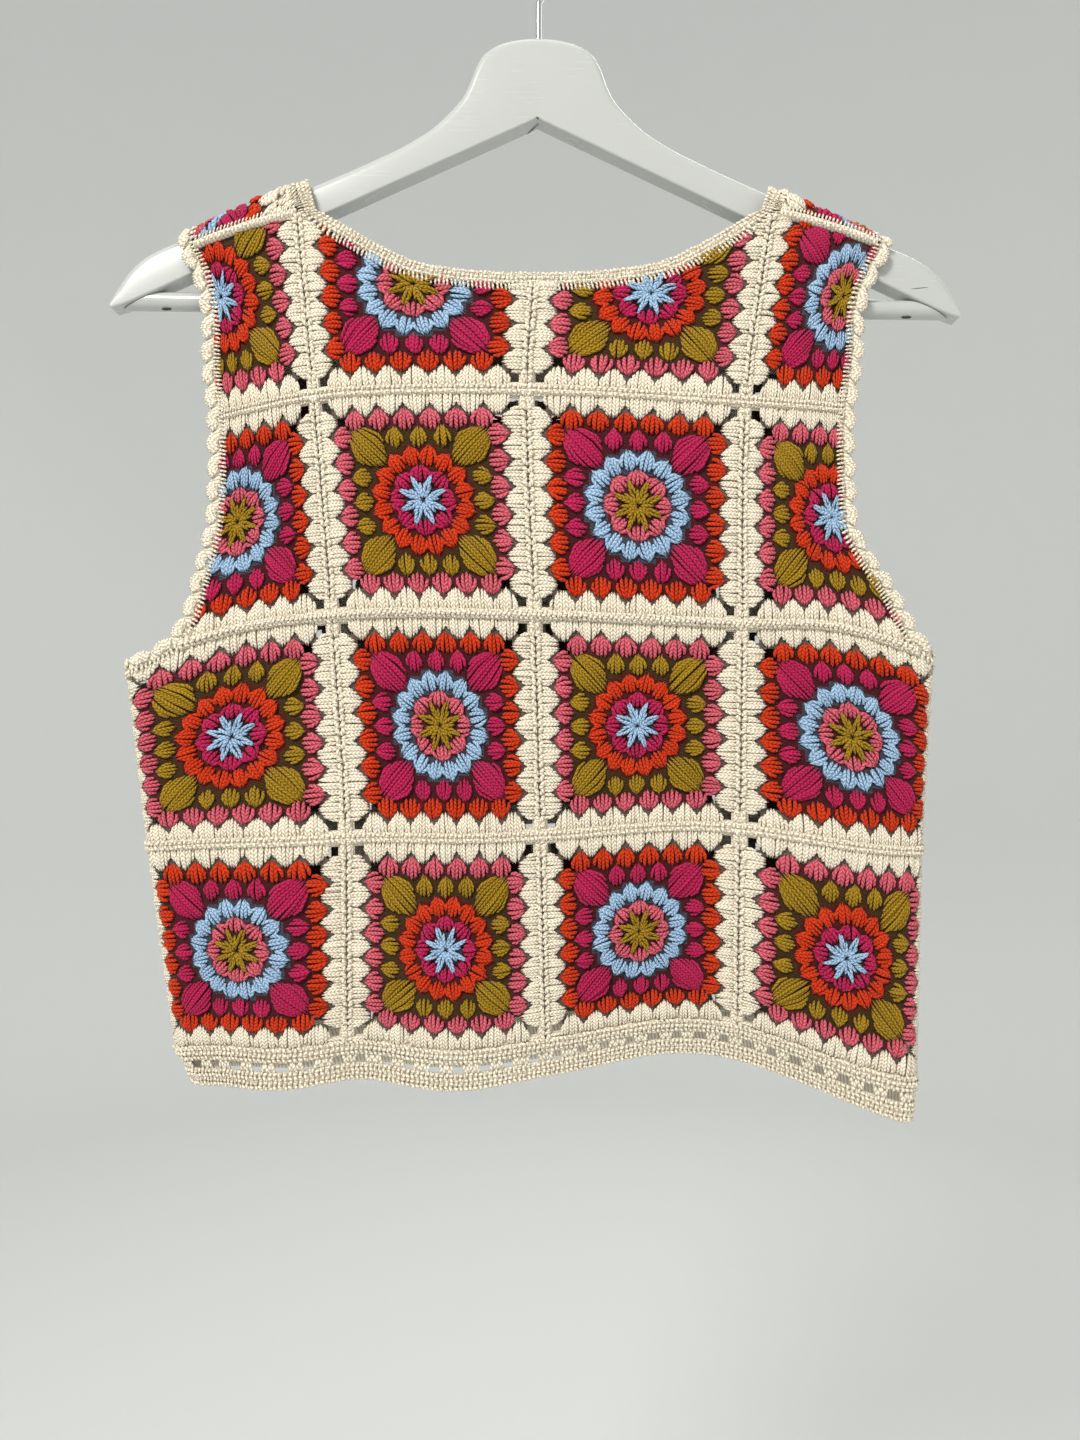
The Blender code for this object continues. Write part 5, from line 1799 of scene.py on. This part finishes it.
    def build(self) -> None:
        """Builds every piece of the vest and logs each square's flat size and area."""
        trims = []
        for side in Side:
            outline = self.cut.outline(side, self.stitches_under)
            for row, column in product(range(4), repeat=2):
                self.square(side, row, column, outline)
            trims += [self.row_join(side, row) for row in (1, 2, 3)]
            trims.append(self.hem(side))
        trims.append(self.neck_edging())
        for word, column in (("left", 0), ("right", -1)):
            trims.append(self.armhole_edging(word, column))
            trims.append(self.shoulder_seam(word, column))
            trims.append(self.side_seam(word, column))
        for name, (ground, stitches, width, length, area) in self.sheets.items():
            LOG.info("%s: flat %.0f by %.0f mm, %.0f cm2", name, width / MM, length / MM,
                     area * 1e4)


# ---------------------------------------------------------------- the hanger


@dataclass
class HangerPieces:
    """The painted wood, the trouser bar and the wire hook."""

    hanger: Hanger
    paint: bpy.types.Material
    wire: bpy.types.Material
    slot_and_crack_shade: bpy.types.Material
    corner_steps: int = 8
    even_stations: int = 160
    # Both ends, half height and the outward direction of each dark mark, painted shade in a slot or
    # crack
    mark_table: tuple = (
        ((-0.1985, -0.0024, -0.2043), (-0.1931, -0.0024, -0.2043), 0.0009, (0, -0.48, -0.88)),
        ((0.1910, -0.0024, -0.2087), (0.1964, -0.0024, -0.2087), 0.0009, (0, -0.48, -0.88)),
        ((-0.0011, -0.0060, -0.1050), (0.0001, -0.0060, -0.1064), 0.0004, (0, -1, 0)),
        ((-0.0061, 0.0050, -0.1085), (0.0003, -0.0007, -0.1058), 0.0004, (0.42, 0, -0.91)),
        ((0.0001, -0.0007, -0.1058), (0.0053, -0.0010, -0.1082), 0.0004, (-0.42, 0, -0.91)),
        ((0.1945, -0.0060, -0.1952), (0.2042, -0.0060, -0.1942), 0.0002, (0, -1, 0)),
    )

    def tube(self, name: str, rings: Array, material: bpy.types.Material, slot: str,
             node: str) -> bpy.types.Object:
        """A closed surface through rings of points, its ends closed by flat faces.

        Args:
            name: of the piece.
            rings: rings by points by three.
            material: its finish.
            slot: passed to dress().
            node: the node that it stands for.
        Returns:
            the piece.
        """
        count, sides = rings.shape[:2]
        corners, sizes = ring_faces(count, sides, False)
        arrays = MeshArrays(rings.reshape(-1, 3), corners, sizes, np.zeros(len(sizes), int),
                            np.zeros((len(corners), 2)), np.full(count * sides, 0.5))
        piece = dress(name, arrays, [material], slot, node)
        piece.data.set_sharp_from_angle(angle=math.radians(42))
        return piece

    def wood(self) -> bpy.types.Object:
        """The arms and neck: sections with rounded corners carried from tip to tip.

        Returns:
            the piece.
        """
        half = np.array(self.hanger.stations)
        table = np.concatenate([half[:0:-1] * (-1, 1, -1, 1), half])
        places = along(table[:, :2])
        even = np.linspace(0, places[-1], self.even_stations)
        even = np.unique(np.concatenate([even, places]))
        table = np.stack([smooth(places, table[:, i], even) for i in range(4)], -1)
        top = np.stack(self.hanger.tilted(table[:, 0], table[:, 1]), -1)
        foot = np.stack(self.hanger.tilted(table[:, 2], table[:, 3]), -1)
        height = np.linalg.norm(top - foot, axis=1)[:, None]
        top_r = np.minimum(self.hanger.top_radius, 0.45 * height)
        foot_r = np.minimum(self.hanger.foot_radius, 0.3 * height)
        turn = np.linspace(0, math.pi / 2, self.corner_steps + 1)
        half_y = self.hanger.half_thickness
        y = np.concatenate([half_y - foot_r + foot_r * np.sin(turn),
                            half_y - top_r + top_r * np.cos(turn)], 1)
        up = np.concatenate([foot_r - foot_r * np.cos(turn),
                             height - top_r + top_r * np.sin(turn)], 1)
        y = np.concatenate([y, -y[:, ::-1]], 1)
        up = np.concatenate([up, up[:, ::-1]], 1) / height
        place = foot[:, None] + (top - foot)[:, None] * up[..., None]
        rings = np.stack([place[..., 0], y, place[..., 1]], -1)
        return self.tube("hanger_wood_paint", rings, self.paint, "white paint", "hanger_wood")

    def bar(self) -> bpy.types.Object:
        """The trouser bar, its ends cut on the slope of the arms' underside.

        Returns:
            the piece.
        """
        around = np.linspace(0, 2 * math.pi, 40, endpoint=False)
        z = self.hanger.bar_z + self.hanger.bar_radius * np.sin(around)
        notch = self.hanger.stations[0][3]
        reach = (notch - z) / self.hanger.underside_slope - self.hanger.bar_end_gap
        share = np.linspace(-1, 1, 25)[:, None]
        x, turned = self.hanger.tilted(reach * share, z + np.zeros((25, 1)))
        y = np.broadcast_to(self.hanger.bar_radius * np.cos(around), x.shape)
        return self.tube("trouser_bar_paint", np.stack([x, y, turned], -1), self.paint,
                         "white paint", "trouser_bar")

    def hook(self) -> bpy.types.Object:
        """The wire hook: a circle carried along a stem, a cubic bend and an open arc.

        Returns:
            the piece.
        """
        size = self.hanger
        centre_z = size.wire_radius - size.hook_radius
        around = np.linspace(size.hook_from, size.hook_to, 70)
        arc = np.stack([np.cos(around), np.sin(around)], -1) * size.hook_radius + (0, centre_z)
        foot = size.stations[0][1] + size.stem_foot_gap
        leaves = np.array([0.0, size.stem_top_z])
        stem = np.stack([np.zeros(6), np.linspace(foot, size.stem_top_z, 7)[:-1]], -1)
        t = np.linspace(0, 1, 16)[:-1, None]
        heading = np.array([-math.sin(size.hook_from), math.cos(size.hook_from)])
        pull_a, pull_b = leaves + (0, size.bend_reach), arc[0] - size.bend_reach * heading
        bend = ((1 - t) ** 3 * leaves + 3 * t * (1 - t) ** 2 * pull_a
                + 3 * t * t * (1 - t) * pull_b + t**3 * arc[0])
        line = np.concatenate([stem, bend, arc])
        heading = np.gradient(line, axis=0)
        heading /= np.linalg.norm(heading, axis=1, keepdims=True)
        across = np.stack([-heading[:, 1], heading[:, 0]], -1)[:, None]
        turn = np.linspace(0, 2 * math.pi, 16, endpoint=False)
        radius = np.full(len(line), size.wire_radius)
        radius[-3:] *= (1.0, 0.85, 0.45)
        ring = line[:, None] + across * np.cos(turn)[:, None] * radius[:, None, None]
        y = np.sin(turn) * radius[:, None]
        rings = np.stack([ring[..., 0], y, ring[..., 1]], -1)
        return self.tube("hook_wire", rings, self.wire, "bright wire", "hook")

    def marks(self) -> bpy.types.Object:
        """Slots in the bar, and cracks at the notch and in an arm, as thin dark lenses: the slots
        and cracks are real, and their dark colour is painted shade in them.

        A lens is a ring middle + long cos(a) + short sin(a), long half the way between its ends,
        between two points 0.12 mm in front of its middle and 0.3 mm behind it.

        Returns:
            the piece.
        """
        first, last, half, front = (np.array([row[i] for row in self.mark_table], float)
                                    for i in range(4))
        long = (last - first)[:, None] / 2
        short = np.cross(front[:, None], long)
        short *= half[:, None, None] / np.linalg.norm(short, axis=-1, keepdims=True)
        around = np.linspace(0, 2 * math.pi, 12, endpoint=False)[:, None]
        middle = (first + last)[:, None] / 2
        ring = middle + long * np.cos(around) + short * np.sin(around)
        poles = middle + front[:, None] * (np.array([0.12, -0.3]) * MM)[:, None]
        points = np.concatenate([poles, ring], 1)
        index = 2 + np.arange(12)
        after = np.roll(index, -1)
        faces = np.concatenate([np.stack([0 * index, index, after], -1),
                                np.stack([0 * index + 1, after, index], -1)])
        corners = (faces.ravel() + 14 * np.arange(len(half))[:, None]).ravel()
        count = 24 * len(half)
        arrays = MeshArrays(points.reshape(-1, 3), corners, np.full(count, 3),
                            np.zeros(count, int), np.zeros((len(corners), 2)),
                            np.full(14 * len(half), 0.5))
        return dress("hanger_marks", arrays, [self.slot_and_crack_shade], "white paint", "hanger_wood",
                     "trouser_bar")

    def build(self) -> None:
        """Builds the hanger's pieces."""
        self.wood()
        self.bar()
        self.hook()
        self.marks()


# ---------------------------------------------------------------- studio


@dataclass(frozen=True)
class Studio:
    """A pale floor that curves up all round, soft lights and the camera."""

    camera_at: tuple = (0.0008, -0.572, -0.4206)
    lens: float = 27.05
    floor_z: float = -1.45
    floor_radius: float = 2.4
    curve: float = 0.7
    wall_top: float = 2.6
    # Name, place, size, power and colour of the lights
    lights: tuple = (
        ("key", (-0.9, -1.5, 0.9), 0.6, 39.0, (1.0, 0.97, 0.91)),
        ("fill", (1.4, -1.5, -0.2), 1.4, 8.0, (1.0, 0.98, 0.94)),
        ("rear", (0.6, 1.9, 0.9), 1.4, 18.0, (1.0, 0.99, 0.96)),
        ("top", (0.0, 0.1, 1.5), 1.0, 3.0, (1.0, 1.0, 0.98)),
    )

    def backdrop(self) -> None:
        """A profile of floor, quarter circle and wall, turned about the vertical."""
        turn = np.linspace(0, math.pi / 2, 13)
        radius = np.concatenate([[0.02, 0.8, self.floor_radius],
                                 self.floor_radius + self.curve * np.sin(turn[1:]),
                                 [self.floor_radius + self.curve]])
        z = np.concatenate([[self.floor_z] * 3,
                            self.floor_z + self.curve * (1 - np.cos(turn[1:])),
                            [self.wall_top]])
        around = np.linspace(0, 2 * math.pi, 96, endpoint=False)[:, None]
        points = np.stack([radius * np.cos(around), radius * np.sin(around),
                           z + np.zeros((96, 1))], -1)
        count, steps = points.shape[:2]
        index = np.arange(count * steps).reshape(count, steps)
        after = np.roll(index, -1, axis=0)
        quads = np.stack([index[:, :-1], after[:, :-1], after[:, 1:], index[:, 1:]], -1)
        quads = quads[..., ::-1].reshape(-1, 4)
        mesh = bpy.data.meshes.new("floor")
        faces = [*quads.tolist(), index[:, 0].tolist()]
        mesh.from_pydata(points.reshape(-1, 3).tolist(), [], faces)
        mesh.shade_smooth()
        material = bpy.data.materials.new("pale floor")
        material.use_nodes = True
        shader = material.node_tree.nodes["Principled BSDF"]
        shader.inputs["Base Color"].default_value = (0.75, 0.76, 0.75, 1)
        shader.inputs["Roughness"].default_value = 0.9
        mesh.materials.append(material)
        floor = bpy.data.objects.new("floor", mesh)
        bpy.context.scene.collection.objects.link(floor)

    def light_up(self) -> None:
        """Area lights that face the vest, and a pale world."""
        for name, place, size, power, colour in self.lights:
            data = bpy.data.lights.new(name, "AREA")
            data.shape = "DISK"
            data.size, data.energy, data.color = size, power, colour
            light = bpy.data.objects.new(name, data)
            light.location = place
            aim = np.array([0.0, 0.0, -0.35]) - np.array(place)
            yaw = math.atan2(aim[1], aim[0]) - math.pi / 2
            pitch = math.atan2(math.hypot(aim[0], aim[1]), -aim[2])
            light.rotation_euler = (pitch, 0.0, yaw)
            bpy.context.scene.collection.objects.link(light)
        world = bpy.data.worlds.new("world")
        bpy.context.scene.world = world
        world.use_nodes = True
        background = world.node_tree.nodes["Background"]
        background.inputs["Color"].default_value = (0.96, 0.99, 0.99, 1)
        background.inputs["Strength"].default_value = 0.60
        bpy.context.scene.view_settings.view_transform = "Standard"

    def camera(self) -> None:
        """A level camera that looks along +Y."""
        data = bpy.data.cameras.new("camera")
        data.lens = self.lens
        data.sensor_width = 36.0
        data.clip_start = 0.01
        camera = bpy.data.objects.new("camera", data)
        camera.location = self.camera_at
        camera.rotation_euler = (math.pi / 2, 0.0, 0.0)
        bpy.context.scene.collection.objects.link(camera)
        bpy.context.scene.camera = camera

    def build(self) -> None:
        """Builds camera, backdrop and lights."""
        self.camera()
        self.backdrop()
        self.light_up()


def write_sizes() -> None:
    """Logs the number of triangles in the pieces that render."""
    meshes = [piece.data for piece in bpy.data.objects
              if piece.type == "MESH" and not piece.hide_render]
    LOG.info("triangles: %d", sum(len(m.loops) - 2 * len(m.polygons) for m in meshes))


def main() -> None:
    """Builds the studio, the vest and the hanger."""
    logging.basicConfig(level=logging.INFO, format="%(message)s")
    Studio().build()
    finishes = Finishes()
    yarns = [YARNS[yarn].build(finishes) for yarn in Yarn]
    Vest(Cut(), Motif(), yarns).build()
    HangerPieces(Hanger(), PAINT.build(finishes), WIRE.build(finishes),
                 SLOT_AND_CRACK_SHADE.build(finishes)).build()
    write_sizes()


if __name__ == "__main__":
    main()
